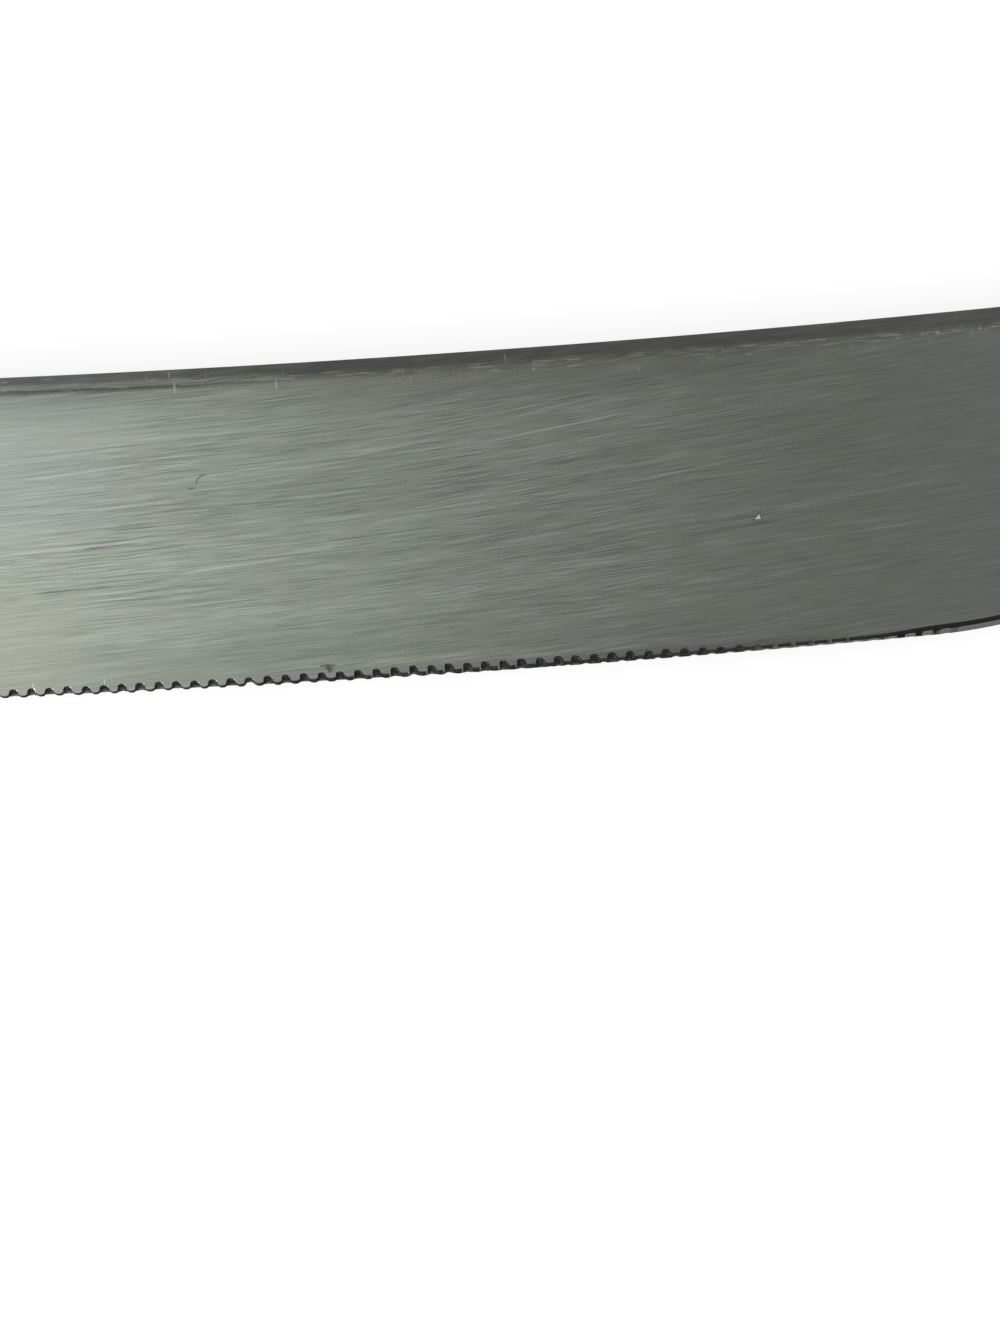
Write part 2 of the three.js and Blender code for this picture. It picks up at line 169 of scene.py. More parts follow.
# Painted shade on a gullet's rim, from its top to the cutting edge, and how it fades down the cut
RIM_SHADE = (0.5, 0.95)
SHADE_FADE = 1.5
FINE_GAP = 0.012
TEETH_GAP = 0.02
INSIDE_GULLET = 0.999
BUTT_END_TURN = 89.0
OFF_BAND = 4.0
SHARP_ANGLE = 30
BLADE_SHARP_ANGLE = 15
BAND_STEPS = 12
BEVEL_STEPS = 12
FACE_STEPS = 6
LOWER_STEPS = 6
CUT_STEPS = 5
BACK_FACE_STEPS = 4
BACK_BAND_STEPS = 6
GULLET_COLUMNS = 16
TIP_COLUMNS = 8
HEEL_COLUMNS = 80
POINT_COLUMNS = 80
TANG_COLUMNS = 54
BUTT_COLUMNS = 40


def lerp(low, high, share):
    return low + (high - low) * share


def smooth(value, low, high):
    share = max(0.0, min(1.0, (value - low) / (high - low)))
    return share * share * (3 - 2 * share)


def by_place(ahead, stops):
    """The size at a place, from stops of (place, size), the same before the first and past the last."""
    for (start, first), (end, last) in zip(stops, stops[1:]):
        if ahead <= end:
            return lerp(first, last, max(0.0, ahead - start) / (end - start))
    return stops[-1][1]


def arc_rise(radius, along):
    return radius - sqrt(radius**2 - along**2)


def spine_at(ahead):
    return ((ahead - SWEEP_LOW) ** 2 - SWEEP_LOW**2) / (2 * SWEEP_RADIUS)


heel_turn = asin(HEEL_LENGTH / (HEEL_BELLY_RADIUS + HEEL_NECK_RADIUS))
neck_length = HEEL_NECK_RADIUS * sin(heel_turn)
heel_rise = (HEEL_BELLY_RADIUS + HEEL_NECK_RADIUS) * (1 - cos(heel_turn))
heel_edge = spine_at(HEEL_LENGTH) - BLADE_WIDTH
point_length = sqrt(POINT_RADIUS**2 - (POINT_RADIUS - BLADE_WIDTH + POINT_BLUNT) ** 2)
point_start = BLADE_LENGTH - POINT_BLUNT / 2 - point_length


def edge_at(ahead):
    if ahead <= neck_length:
        return heel_edge + heel_rise - arc_rise(HEEL_NECK_RADIUS, ahead)
    if ahead <= HEEL_LENGTH:
        return heel_edge + arc_rise(HEEL_BELLY_RADIUS, HEEL_LENGTH - ahead)
    straight = spine_at(ahead) - BLADE_WIDTH
    return straight + arc_rise(POINT_RADIUS, max(0.0, ahead - point_start))


front_height = spine_at(0) - edge_at(0)
butt_place = HANDLE_LENGTH - BUTT_ROUND


def handle_middle(behind):
    return spine_at(0) - front_height / 2 - HANDLE_DROOP * behind / HANDLE_LENGTH


def handle_line(behind, side):
    """The handle's back (side 1) or belly (side -1) line, at a distance behind the bolsters' front."""
    if behind >= butt_place:
        reach = sqrt(max(0.0, 1 - ((behind - butt_place) / BUTT_ROUND) ** 2))
        return handle_middle(butt_place) + side * BUTT_HEIGHT / 2 * reach
    if behind < WAIST_PLACE:
        before, after = (0.0, front_height), (WAIST_PLACE, WAIST_HEIGHT)
    else:
        before, after = (WAIST_PLACE, WAIST_HEIGHT), (butt_place, BUTT_HEIGHT)
    low = handle_middle(before[0]) + side * before[1] / 2
    high = handle_middle(after[0]) + side * after[1] / 2
    return lerp(low, high, smooth(behind, before[0], after[0]))


def ground(ahead):
    return smooth(ahead, 0, PLUNGE_LENGTH)


def back_half(ahead):
    return lerp(BLANK_THICKNESS / 2, POINT_THICKNESS / 2, ahead / BLADE_LENGTH)


grind_slope = (back_half(HEEL_LENGTH) - EDGE_THICKNESS / 2) / -heel_edge


def half_at(ahead, up):
    return lerp(BLANK_THICKNESS / 2, back_half(ahead) + grind_slope * up, ground(ahead))


def band_width(ahead, spine, edge):
    room = min(1.0, (spine - edge) / BEVEL_ROOM)
    return room * lerp(SPINE_BEVEL_HEEL, SPINE_BEVEL_POINT, max(0.0, ahead) / BLADE_LENGTH)


def band_profile(share, crispness):
    """How far the spine's bevel has come out to the face: rounded at the heel, two facets at the point."""
    rounded = 1 - (1 - share) ** BAND_ROUNDING
    if share < FACET_BREAK:
        facets = share / FACET_BREAK * FACET_OUT
    else:
        facets = lerp(FACET_OUT, 1.0, (share - FACET_BREAK) / (1 - FACET_BREAK))
    return lerp(rounded, facets, crispness)


def blade_section(ahead, spine, edge, gullet=None, lift=0.0, worn=0.0, unshaded=0.0):
    """A ring of points (up, out, painted shade, negative on the honed strip): from the spine down the show
    face, round the edge, up the back.

    A tooth's tip is lifted as it was ground and worn as it was used, and the painted shade is lifted off its
    bevel in places.
    """
    grown = max(0.0, ahead)
    fade = ground(grown)
    room = min(1.0, (spine - edge) / BEVEL_ROOM)
    shoulder = spine - band_width(ahead, spine, edge)
    lower = edge + FACE_MARGIN * room
    top = lerp(half_at(grown, spine), SPINE_FLAT / 2, fade)
    thick = half_at(grown, edge)
    crispness = smooth(grown, FACETS_BEGIN, FACETS_FULL)

    def face(up):
        return half_at(grown, up)

    ring = []
    for i in range(BAND_STEPS + 1):
        share = i / BAND_STEPS
        out = lerp(top, face(shoulder), band_profile(share, crispness))
        ring.append((lerp(spine, shoulder, share), out, 0.0))
    for i in range(1, FACE_STEPS + 1):
        up = lerp(shoulder, lower, i / FACE_STEPS)
        ring.append((up, face(up), 0.0))

    # The edge bevel is hollow: steep under the face, where shade is painted on it, and flatter towards the
    # cutting edge, where the painted shade stops and the honed strip is marked
    dark = by_place(grown, DARK_BEVEL)
    strip = by_place(grown, HONED_BEVEL)
    bevel = room * (dark + strip) - worn
    strip_mark = 1 - 2 * min(1.0, strip / HONED_STRIP)
    strip_from = min(DARK_AT_MOST, dark / (dark + strip))
    keen = lerp(thick, EDGE_FLAT - thick, fade)
    bottom = edge + lift + worn
    groove = 0.0
    groove_shade = 1.0
    if gullet is not None:
        aside = ahead - gullet["ahead"]
        if aside > 0:
            half, drop, squareness = gullet["half_ahead"], gullet["half_ahead"], gullet["wall"]
        else:
            half, drop, squareness = gullet["half_behind"], gullet["drop"], gullet["flank"]
        bowl = max(0.0, 1 - abs(aside / half) ** squareness) ** (1 / squareness)
        if gullet["runs_out"]:
            groove = RUN_OUT_DEPTH * bowl
            strip_from = lerp(strip_from, RUN_OUT_REACH, smooth(bowl, 0.1, 0.6))
            groove_shade = lerp(1.0, gullet["grime"], smooth(bowl, 0.1, 0.5))
    path = [(lower, face(lower))]
    for i in range(BEVEL_STEPS + 1):
        share = i / BEVEL_STEPS
        out = lerp(face(bottom + bevel), keen, 1 - (1 - share) ** BEVEL_HOLLOW)
        path.append((bottom + bevel * (1 - share), out - groove * sin(pi * share)))
    front = path[-1]
    back = (bottom, -thick)
    rim = path[1:]
    through_face = False
    if gullet is not None and not gullet["runs_out"]:
        rise = edge + gullet["rise"]
        above, under = next(pair for pair in zip(path, path[1:]) if pair[1][0] <= rise)
        rise_out = lerp(above[1], under[1], (above[0] - rise) / (above[0] - under[0]))
        cut_top = rise - drop * (1 - bowl)
        clean_rim = gullet["clean_rim"] * smooth(-aside / half, 0.05, 0.35)

        def over(point):
            return point[0] - cut_top - (point[1] - rise_out) * tan(radians(gullet["slant"]))

        def crossing(first, second):
            share = over(first) / (over(first) - over(second))
            return tuple(lerp(a, b, share) for a, b in zip(first, second))

        for i in range(len(path) - 1):
            if over(path[i + 1]) <= 0:
                front = crossing(path[i], path[i + 1])
                rim = path[1 : i + 1] + [front]
                break
        through_face = len(rim) < 2
        if through_face:
            up = min(front[0] + GULLET_RIM, lower)
            front = (front[0] - 0.5 * GULLET_RIM, front[1] - 0.5 * GULLET_RIM)
            rim = [(up, face(up)), front]
        if over(back) <= 0:
            back = crossing((lower, -face(lower)), back)
    # The face just above the bevel gets painted shade, deepest next to the bevel
    shoulder_shade = by_place(grown, SHOULDER_SHADE) * fade
    for i in range(1, LOWER_STEPS + 1):
        share = i / LOWER_STEPS
        up = lerp(lower, rim[0][0] + FINE_GAP, share)
        nearness = max(0.0, 1 - (up - rim[0][0]) / SHOULDER_DEPTH)
        ring.append((up, face(up), shoulder_shade * nearness))
    # Rows down the bevel or a gullet's rim carry painted shade; past the strip's start they carry the honed
    # strip's mark instead
    rows = (0.0, 0.35 * strip_from, 0.7 * strip_from, strip_from - 0.03, strip_from + 0.03, 0.96, 1.0)
    for share in rows:
        where = share * (len(rim) - 1)
        k = min(int(where), len(rim) - 2)
        up, out = (lerp(a, b, where - k) for a, b in zip(rim[k], rim[k + 1]))
        down = (bottom + bevel - up) / bevel
        if through_face:
            grime = lerp(*RIM_SHADE, share) * gullet["grime"] * (1 - clean_rim * (share < 0.9))
        else:
            below_face = lerp(1.0, groove_shade, smooth(down, 0.3, 0.6))
            grime = lerp(below_face, strip_mark, down > strip_from) * (1 - unshaded)
        ring.append((up, out, fade * grime))
    # Rows across the cut face carry painted shade, in a gullet fading towards its floor
    for i in range(1, CUT_STEPS + 1):
        up, out = (lerp(a, b, i / CUT_STEPS) for a, b in zip(front, back))
        if gullet is None or gullet["runs_out"]:
            shade_amount = strip_mark
        else:
            at_floor = lerp(RIM_SHADE[1], gullet["floor"], bowl)
            shade_amount = gullet["grime"] * lerp(1.0, at_floor, (i / CUT_STEPS) ** SHADE_FADE)
        ring.append((up, out, fade * shade_amount))
    for i in range(1, BACK_FACE_STEPS + 1):
        share = i / BACK_FACE_STEPS
        up = lerp(back[0], shoulder, share * share)
        ring.append((up, -face(up), 0.0))
    for i in range(1, BACK_BAND_STEPS + 1):
        share = 1 - i / BACK_BAND_STEPS
        out = lerp(top, face(shoulder), band_profile(share, crispness))
        ring.append((lerp(spine, shoulder, share), -out, 0.0))
    return ring


tooth_chance = random.Random(16)
gullets = []
gullet_count = int((point_start + TEETH_INTO_POINT - HEEL_LENGTH) / TOOTH_PITCH)
for i in range(-RUN_OUT_GULLETS, gullet_count):
    centre = HEEL_LENGTH + (i + 0.5) * TOOTH_PITCH
    gullet = {name: by_place(centre, stops) for name, stops in GULLET_STOPS.items()}
    wide = tooth_chance.uniform(*TOOTH_WIDTHS)
    gullet["ahead"] = centre + tooth_chance.uniform(-TOOTH_SHIFT, TOOTH_SHIFT)
    gullet["half_ahead"] *= wide
    gullet["half_behind"] *= wide
    gullet["rise"] *= tooth_chance.uniform(*TOOTH_RISES)
    if abs(centre - CHIPPED_GULLET) < TOOTH_PITCH / 2:
        gullet["slant"] = CHIPPED_SLANT
    gullet["runs_out"] = centre < RUN_OUT_END
    wear = tooth_chance.uniform(*TIP_WEAR)
    gullet["tip_wear"] = wear * smooth(centre, TIP_WEAR_BEGINS, TIP_WEAR_FULL)
    gullets.append(gullet)

blade_columns = []
for k in range(BUTT_COLUMNS):
    behind = butt_place + BUTT_ROUND * sin(radians(lerp(BUTT_END_TURN, 0.0, k / BUTT_COLUMNS)))
    blade_columns.append((-behind,))
for k in range(TANG_COLUMNS):
    blade_columns.append((lerp(-butt_place, 0.0, k / TANG_COLUMNS),))
teeth_begin = gullets[0]["ahead"] - gullets[0]["half_behind"]
for k in range(HEEL_COLUMNS):
    blade_columns.append((lerp(0.0, teeth_begin - TEETH_GAP, k / HEEL_COLUMNS),))
for i, gullet in enumerate(gullets):
    tip_lift = TOOTH_TIP_LIFT * smooth(gullet["ahead"], TIP_LIFT_BEGINS, TIP_LIFT_FULL)
    for k in range(GULLET_COLUMNS + 1):
        turn = sin(lerp(-pi / 2, pi / 2, k / GULLET_COLUMNS))
        half = gullet["half_ahead"] if turn > 0 else gullet["half_behind"]
        ahead = gullet["ahead"] + INSIDE_GULLET * half * turn
        blade_columns.append((ahead, gullet, gullet["tip_wear"] + tip_lift))
    if gullet is gullets[-1]:
        break
    following = gullets[i + 1]
    start = gullet["ahead"] + gullet["half_ahead"] + FINE_GAP
    end = following["ahead"] - following["half_behind"] - FINE_GAP
    for k in range(TIP_COLUMNS + 1):
        share = (1 - cos(pi * k / TIP_COLUMNS)) / 2
        lift = lerp(gullet["tip_wear"], following["tip_wear"], share)
        lift += tip_lift * abs(2 * share - 1) ** TIP_ROUNDING
        ahead = lerp(start, end, share)
        worn = by_place(ahead, WORN_TIP) * (1 - (2 * share - 1) ** 2)
        unshaded_ahead = by_place(ahead, UNSHADED_AHEAD) * smooth(share, 0.34, 0.10)
        unshaded_behind = by_place(ahead, UNSHADED_BEHIND) * smooth(share, 0.75, 0.92)
        blade_columns.append((ahead, None, lift, worn, max(unshaded_ahead, unshaded_behind)))
teeth_end = gullets[-1]["ahead"] + gullets[-1]["half_ahead"] + TEETH_GAP
first_turn = asin((teeth_end - point_start) / POINT_RADIUS)
last_turn = asin(point_length / POINT_RADIUS)
for k in range(POINT_COLUMNS + 1):
    ahead = point_start + POINT_RADIUS * sin(lerp(first_turn, last_turn, k / POINT_COLUMNS))
    blade_columns.append((ahead,))
point_end = point_start + point_length
point_middle = (spine_at(point_end) + edge_at(point_end)) / 2
for degrees in range(8, 80, 8):
    blade_columns.append((point_end + POINT_BLUNT / 2 * sin(radians(degrees)),))

blade_points = []
blade_marks = {"shade_and_honing": [], "band_place": [], "below_spine": [], "ahead": []}
blade_uv = []
for ahead, *edge_work in blade_columns:
    if ahead < 0:
        spine, edge = handle_line(-ahead, 1), handle_line(-ahead, -1)
    elif ahead <= point_end:
        spine, edge = spine_at(ahead), edge_at(ahead)
    else:
        reach = sqrt((POINT_BLUNT / 2) ** 2 - (ahead - point_end) ** 2)
        spine, edge = point_middle + reach, point_middle - reach
    ring = blade_section(ahead, spine, edge, *edge_work)
    for k, (up, out, shade_and_honing) in enumerate(ring):
        blade_points.append(place(ahead, up, out))
        blade_marks["shade_and_honing"].append(shade_and_honing)
        on_band = (spine - up) / band_width(ahead, spine, edge) if ahead > 0 else OFF_BAND
        blade_marks["band_place"].append(on_band)
        blade_marks["below_spine"].append(spine - up)
        blade_marks["ahead"].append(ahead)
        blade_uv.append((k / len(ring), ahead / BLADE_LENGTH))


def ring_skin(rings, count, first=0):
    """Faces of a skin over rings of points that follow each other, closed at both ends."""
    faces = []
    for i in range(rings - 1):
        for k in range(count):
            a, b = first + i * count + k, first + i * count + (k + 1) % count
            faces.append((a, a + count, b + count, b))
    last = first + (rings - 1) * count
    faces.append(tuple(range(first, first + count)))
    faces.append(tuple(reversed(range(last, last + count))))
    return faces


blade_faces = ring_skin(len(blade_columns), len(ring))


def mesh_piece(name, points, faces, sharp_degrees=SHARP_ANGLE):
    """A new object from points in metres, shaded smooth except across edges sharper than an angle."""
    mesh = bpy.data.meshes.new(name)
    mesh.from_pydata([tuple(point) for point in points], [], faces)
    mesh.polygons.foreach_set("use_smooth", [True] * len(mesh.polygons))
    mesh.set_sharp_from_angle(angle=radians(sharp_degrees))
    piece = bpy.data.objects.new(name, mesh)
    bpy.context.scene.collection.objects.link(piece)
    return piece


blade = mesh_piece("blade_steel", blade_points, blade_faces, BLADE_SHARP_ANGLE)
for name, values in blade_marks.items():
    blade.data.attributes.new(name, "FLOAT", "POINT").data.foreach_set("value", values)
across = blade.data.uv_layers.new(name="across")
for loop in blade.data.loops:
    across.data[loop.index].uv = blade_uv[loop.vertex_index]


def lathe(profile, centres, segments=64):
    """Points and faces of solids turned from a profile of (radius, out), closed at both ends."""
    points, faces = [], []
    for behind, up in centres:
        faces += ring_skin(len(profile), segments, len(points))
        for radius, out in profile:
            for k in range(segments):
                turn = 2 * pi * k / segments
                points.append(place(-behind + radius * cos(turn), up + radius * sin(turn), out))
    return points, faces


def outward(piece):
    """Turn a closed piece's faces outwards."""
    solid = bmesh.new()
    solid.from_mesh(piece.data)
    bmesh.ops.recalc_face_normals(solid, faces=solid.faces)
    solid.to_mesh(piece.data)
    solid.free()


def drill(piece, profile, centres, sharp_degrees=SHARP_ANGLE):
    """Take turned solids out of a piece."""
    cutter = mesh_piece("drill", *lathe(profile, centres))
    outward(cutter)
    modifier = piece.modifiers.new("holes", "BOOLEAN")
    modifier.object = cutter
    modifier.operation = "DIFFERENCE"
    modifier.solver = "EXACT"
    bpy.context.view_layer.update()
    worked_out = piece.evaluated_get(bpy.context.evaluated_depsgraph_get())
    drilled = bpy.data.meshes.new_from_object(worked_out)
    piece.modifiers.clear()
    piece.data = drilled
    drilled.set_sharp_from_angle(angle=radians(sharp_degrees))
    bpy.data.objects.remove(cutter)


RIVET_PLACES = (31.0, 60.5, 90.0)
RIVET_SOCKET_RADIUS = 2.3
PIN_PLACE = 7.5
PIN_SPREAD = 7.0
PIN_RADIUS = 1.2
CLEARANCE = 0.05
TANG_DRILL = 3.0

rivet_centres = [(behind, handle_middle(behind)) for behind in RIVET_PLACES]
pin_centres = [(PIN_PLACE, handle_middle(PIN_PLACE) + side * PIN_SPREAD / 2) for side in (1, -1)]
socket_hole = RIVET_SOCKET_RADIUS + CLEARANCE
pin_hole = PIN_RADIUS + CLEARANCE
for radius, centres in ((socket_hole, rivet_centres), (pin_hole, pin_centres)):
    drill(blade, [(radius, -TANG_DRILL), (radius, TANG_DRILL)], centres, BLADE_SHARP_ANGLE)


def new_finish(name):
    """A material, its node tree and its surface shader. The next helpers work on the finish in hand."""
    material = bpy.data.materials.new(name)
    material.use_nodes = True
    return material, material.node_tree, material.node_tree.nodes["Principled BSDF"]


def new_node(kind, inputs=(), **settings):
    """A new node: its settings, then its inputs, each a value or another node's output."""
    node = tree.nodes.new("ShaderNode" + kind)
    for name, value in settings.items():
        setattr(node, name, value)
    for key, value in dict(inputs).items():
        if isinstance(value, bpy.types.NodeSocket):
            tree.links.new(value, node.inputs[key])
        else:
            node.inputs[key].default_value = value
    return node


def wire(kind, inputs=(), **settings):
    """The first output of a new node."""
    return new_node(kind, inputs, **settings).outputs[0]


def sum_up(operation, first, second=0.0, third=0.0):
    return wire("Math", {0: first, 1: second, 2: third}, operation=operation)


def times(first, *others):
    for other in others:
        first = sum_up("MULTIPLY", first, other)
    return first


def larger(first, second):
    return sum_up("MAXIMUM", first, second)


def spread(value, low, high, to_low=0.0, to_high=1.0):
    """The value's range from low to high, mapped smoothly onto another range and held at its ends."""
    inputs = {"Value": value, "From Min": low, "From Max": high, "To Min": to_low, "To Max": to_high}
    return wire("MapRange", inputs, interpolation_type="SMOOTHSTEP")


def between(value, low, full, still, high):
    """A share that comes in from low to full and goes out from still to high."""
    return times(spread(value, low, full), spread(value, high, still))


def blend(share, first, second):
    """A colour between two, each a colour or another node's output."""
    ends = [end if isinstance(end, bpy.types.NodeSocket) else (*end, 1.0) for end in (first, second)]
    return new_node("Mix", {0: share, 6: ends[0], 7: ends[1]}, data_type="RGBA").outputs[2]


def grain(vector, length, width, turn=0.0, detail=2.0, shift=0.0):
    """Noise drawn out along the knife: its marks' length and width in millimetres and turn in degrees."""
    inputs = {
        "Vector": vector,
        "Location": (shift, 0.37 * shift, 0.61 * shift),
        "Rotation": (0.0, 0.0, radians(turn)),
        "Scale": (length * MM, width * MM, width * MM),
    }
    drawn = wire("Mapping", inputs, vector_type="TEXTURE")
    return wire("TexNoise", {"Vector": drawn, "Scale": 1.0, "Detail": detail, "Roughness": 0.55})


def mark(name):
    return new_node("Attribute", attribute_name=name).outputs["Fac"]


def finish_off(colour, roughness, relief, strength, depth):
    """Give the shader its colour, its roughness and a relief of some strength and depth in millimetres."""
    bump = wire("Bump", {"Strength": strength, "Distance": depth * MM, "Height": relief})
    for name, value in (("Base Color", colour), ("Roughness", roughness), ("Normal", bump)):
        tree.links.new(value, shader.inputs[name])


def photo_place(across_photo, down_photo):
    """Where a photograph pixel falls on the show face: ahead of the bolsters and below the spine."""
    right = (across_photo - PHOTO_WIDTH / 2) * MM_PER_PHOTO_PIXEL
    above = (PHOTO_HEIGHT / 2 - down_photo) * MM_PER_PHOTO_PIXEL
    ahead = CAMERA_AHEAD - right * cos(CAMERA_ROLL) - above * sin(CAMERA_ROLL)
    up = CAMERA_UP - right * sin(CAMERA_ROLL) + above * cos(CAMERA_ROLL)
    return ahead, spine_at(ahead) - up


GLAZE_TURN = 3.6
GLAZE_BEND = 0.8
STEEL_DARK = (0.350, 0.392, 0.342)
STEEL_LIGHT = (0.705, 0.782, 0.695)
STEEL_ROSY = (0.565, 0.555, 0.505)
STEEL_MOSSY = (0.520, 0.580, 0.470)
STEEL_YELLOW = (0.600, 0.640, 0.500)
STEEL_COOL = (0.560, 0.592, 0.572)
STEEL_TAN = (0.600, 0.535, 0.440)
TOOTH_SHADE_GREY = (0.345, 0.360, 0.335)
TANG_GREY = (0.50, 0.50, 0.485)
# Dark for scratches and marks, and painted shade on the back's bevel and round a dent
DARK_MARK_AND_SHADE = (0.142, 0.127, 0.124)
SCUFF_LIGHT = (0.86, 0.88, 0.84)
HONED_GREY = (0.31, 0.305, 0.31)
STAIN_BROWN = (0.085, 0.072, 0.068)
SHADE_BLACK = (0.008, 0.008, 0.0075)
SHADE_SPECK = (0.062, 0.063, 0.058)

steel, tree, shader = new_finish("glazed_steel")
ahead_mark = mark("ahead")
below_mark = mark("below_spine")
band_place = mark("band_place")
solid = new_node("SeparateXYZ", {0: new_node("TexCoord").outputs["Object"]}).outputs
show_side = sum_up("GREATER_THAN", solid[2], KNIFE_ZERO.z)
hanging = times(below_mark, -MM)
along_blade = wire("CombineXYZ", {0: solid[0], 1: hanging, 2: solid[2]})

# The glaze: scratches of several lengths that cross at small angles, bend a little and fade to the heel
bend = times(spread(ahead_mark, 50, 88, 0.0, GLAZE_BEND * MM), spread(below_mark, 26, 12))
belt_way = wire("CombineXYZ", {0: solid[0], 1: sum_up("ADD", hanging, bend), 2: solid[2]})
long_glaze = grain(belt_way, 9, 0.15, GLAZE_TURN, 2.0)
short_glaze = grain(belt_way, 3.0, 0.12, GLAZE_TURN - 2.0, 1.0, 0.55)
fine_glaze = grain(belt_way, 4.4, 0.09, GLAZE_TURN + 0.8, 2.0, 0.3)
broad_glaze = grain(belt_way, 40, 2.2, GLAZE_TURN, 2.0, 0.7)
deeper_glaze = times(spread(ahead_mark, 92, 112), spread(below_mark, 27, 4, 0.25, 1.0))
glaze_depth = sum_up("ADD", spread(ahead_mark, 42, 70, 0.44, 1.0), deeper_glaze)
glaze = -0.5
for layer, weight in ((long_glaze, 0.34), (short_glaze, 0.22), (fine_glaze, 0.28), (broad_glaze, 0.16)):
    glaze = sum_up("MULTIPLY_ADD", layer, weight, glaze)
glaze = sum_up("MULTIPLY_ADD", glaze, glaze_depth, 0.5)
colour = blend(spread(glaze, 0.325, 0.675), STEEL_DARK, STEEL_LIGHT)
light_lines = spread(grain(belt_way, 6, 0.09, GLAZE_TURN - 0.7, 1.0, 0.15), 0.62, 0.70, 0.0, 0.42)
dark_lines = spread(grain(belt_way, 5, 0.09, GLAZE_TURN + 0.8, 1.0, 0.45), 0.62, 0.70, 0.0, 0.36)
long_lights = spread(grain(belt_way, 20, 0.14, GLAZE_TURN + 3.8, 0.0, 0.35), 0.66, 0.74, 0.0, 0.40)
long_lights = times(long_lights, spread(ahead_mark, 100, 80, 0.35, 1.0))
long_darks = spread(grain(belt_way, 18, 0.11, GLAZE_TURN - 0.6, 0.0, 0.65), 0.66, 0.72, 0.0, 0.34)
light_lines = larger(times(light_lines, glaze_depth), long_lights)
dark_lines = larger(dark_lines, long_darks)
colour = blend(light_lines, colour, SCUFF_LIGHT)
colour = blend(times(dark_lines, glaze_depth), colour, DARK_MARK_AND_SHADE)

# Faint tints of age: brownish and greenish patches, a yellowed stretch and cooler ends. Then painted shade
# near the back, above the teeth and on the tooth faces, darker towards the heel, and lighter near the back
# towards the point
rosy = spread(grain(along_blade, 5, 3, 25, 3.0, 0.2), 0.48, 0.70, 0.0, 0.4)
mossy = spread(grain(along_blade, 4, 2.5, -15, 3.0, 0.75), 0.48, 0.70, 0.0, 0.5)
colour = blend(rosy, colour, STEEL_ROSY)
colour = blend(mossy, colour, STEEL_MOSSY)
yellowed = times(spread(ahead_mark, 98, 118), spread(below_mark, 12, 24), 0.55)
colour = blend(yellowed, colour, STEEL_YELLOW)
cool_back = times(spread(ahead_mark, 102, 110), spread(below_mark, 16, 13))
cool = larger(cool_back, spread(ahead_mark, 40, 36))
colour = blend(times(cool, 0.5), colour, STEEL_COOL)
# Painted shade near the back and above the teeth, and darker towards the heel
shaded_back = times(spread(below_mark, 6.5, 2.0, 0.0, 0.5), between(ahead_mark, 42, 54, 84, 94))
above_teeth = larger(spread(below_mark, 26.7, 25.7), spread(ahead_mark, 86, 94))
above_teeth = times(above_teeth, spread(below_mark, 22.6, 25.2))
shaded_edge = times(above_teeth, spread(ahead_mark, 46, 58), spread(ahead_mark, 116, 102, 0.22, 0.40))
darker_heel = spread(ahead_mark, 62, 44, 0.0, 0.28)
for darkening in (shaded_back, shaded_edge, darker_heel):
    colour = blend(darkening, colour, STEEL_DARK)
# Painted shade on the tooth faces
tooth_shade = times(spread(ahead_mark, 40, 50), spread(ahead_mark, 100, 62, 0.08, 0.75))
colour = blend(times(tooth_shade, spread(below_mark, 26.7, 27.3)), colour, TOOTH_SHADE_GREY)
bright_back = times(spread(ahead_mark, 90, 108), spread(below_mark, 10.0, 3.0), 0.45)
colour = blend(bright_back, colour, STEEL_LIGHT)
colour = blend(spread(ahead_mark, 0.5, -0.5, 0.0, 0.7), colour, TANG_GREY)

# The bevel of the back, with shade painted on it for its dark reflection: one dark round towards the heel,
# two facets over a dark line towards the point
facets = spread(ahead_mark, 84, 104)
patchy = grain(along_blade, 3.5, 0.5, 3.0, 3.0, 0.25)
upper_facet = spread(band_place, 0.66, 0.40)
rounded_band = spread(band_place, 1.17, 0.45)
band_painted_shade = wire("Mix", {0: facets, 2: rounded_band, 3: upper_facet})
band_depth = sum_up("MULTIPLY_ADD", facets, -0.14, spread(patchy, 0.35, 0.70, 0.78, 0.64))
colour = blend(times(band_painted_shade, band_depth), colour, DARK_MARK_AND_SHADE)
uneven = sum_up("ADD", band_place, spread(patchy, 0.3, 0.7, -0.04, 0.06))
band_line = between(uneven, 0.80, 0.92, 0.98, 1.22)
colour = blend(times(band_line, facets, 0.62), colour, DARK_MARK_AND_SHADE)
tan_line = times(between(band_place, 0.45, 0.72, 0.95, 1.40), spread(patchy, 0.35, 0.6, 0.03, 0.24))
tan_line = times(tan_line, spread(ahead_mark, 98, 90), spread(ahead_mark, 38, 60, 0.2, 1.0))
colour = blend(tan_line, colour, STEEL_TAN)
dashes = spread(grain(along_blade, 2.2, 0.16, 1.0, 2.0, 0.9), 0.52, 0.66)
near_shoulder = between(band_place, 0.50, 0.70, 0.86, 0.98)
ticks = spread(grain(along_blade, 0.12, 0.7, 8.0, 1.0, 0.5), 0.62, 0.72)
ticked = spread(grain(along_blade, 5, 3, 0.0, 1.0, 0.4), 0.48, 0.60)
round_shoulder = between(band_place, 0.45, 0.80, 1.10, 1.35)
scuffs = larger(times(dashes, near_shoulder), times(ticks, ticked, round_shoulder))
colour = blend(times(scuffs, 0.5), colour, SCUFF_LIGHT)

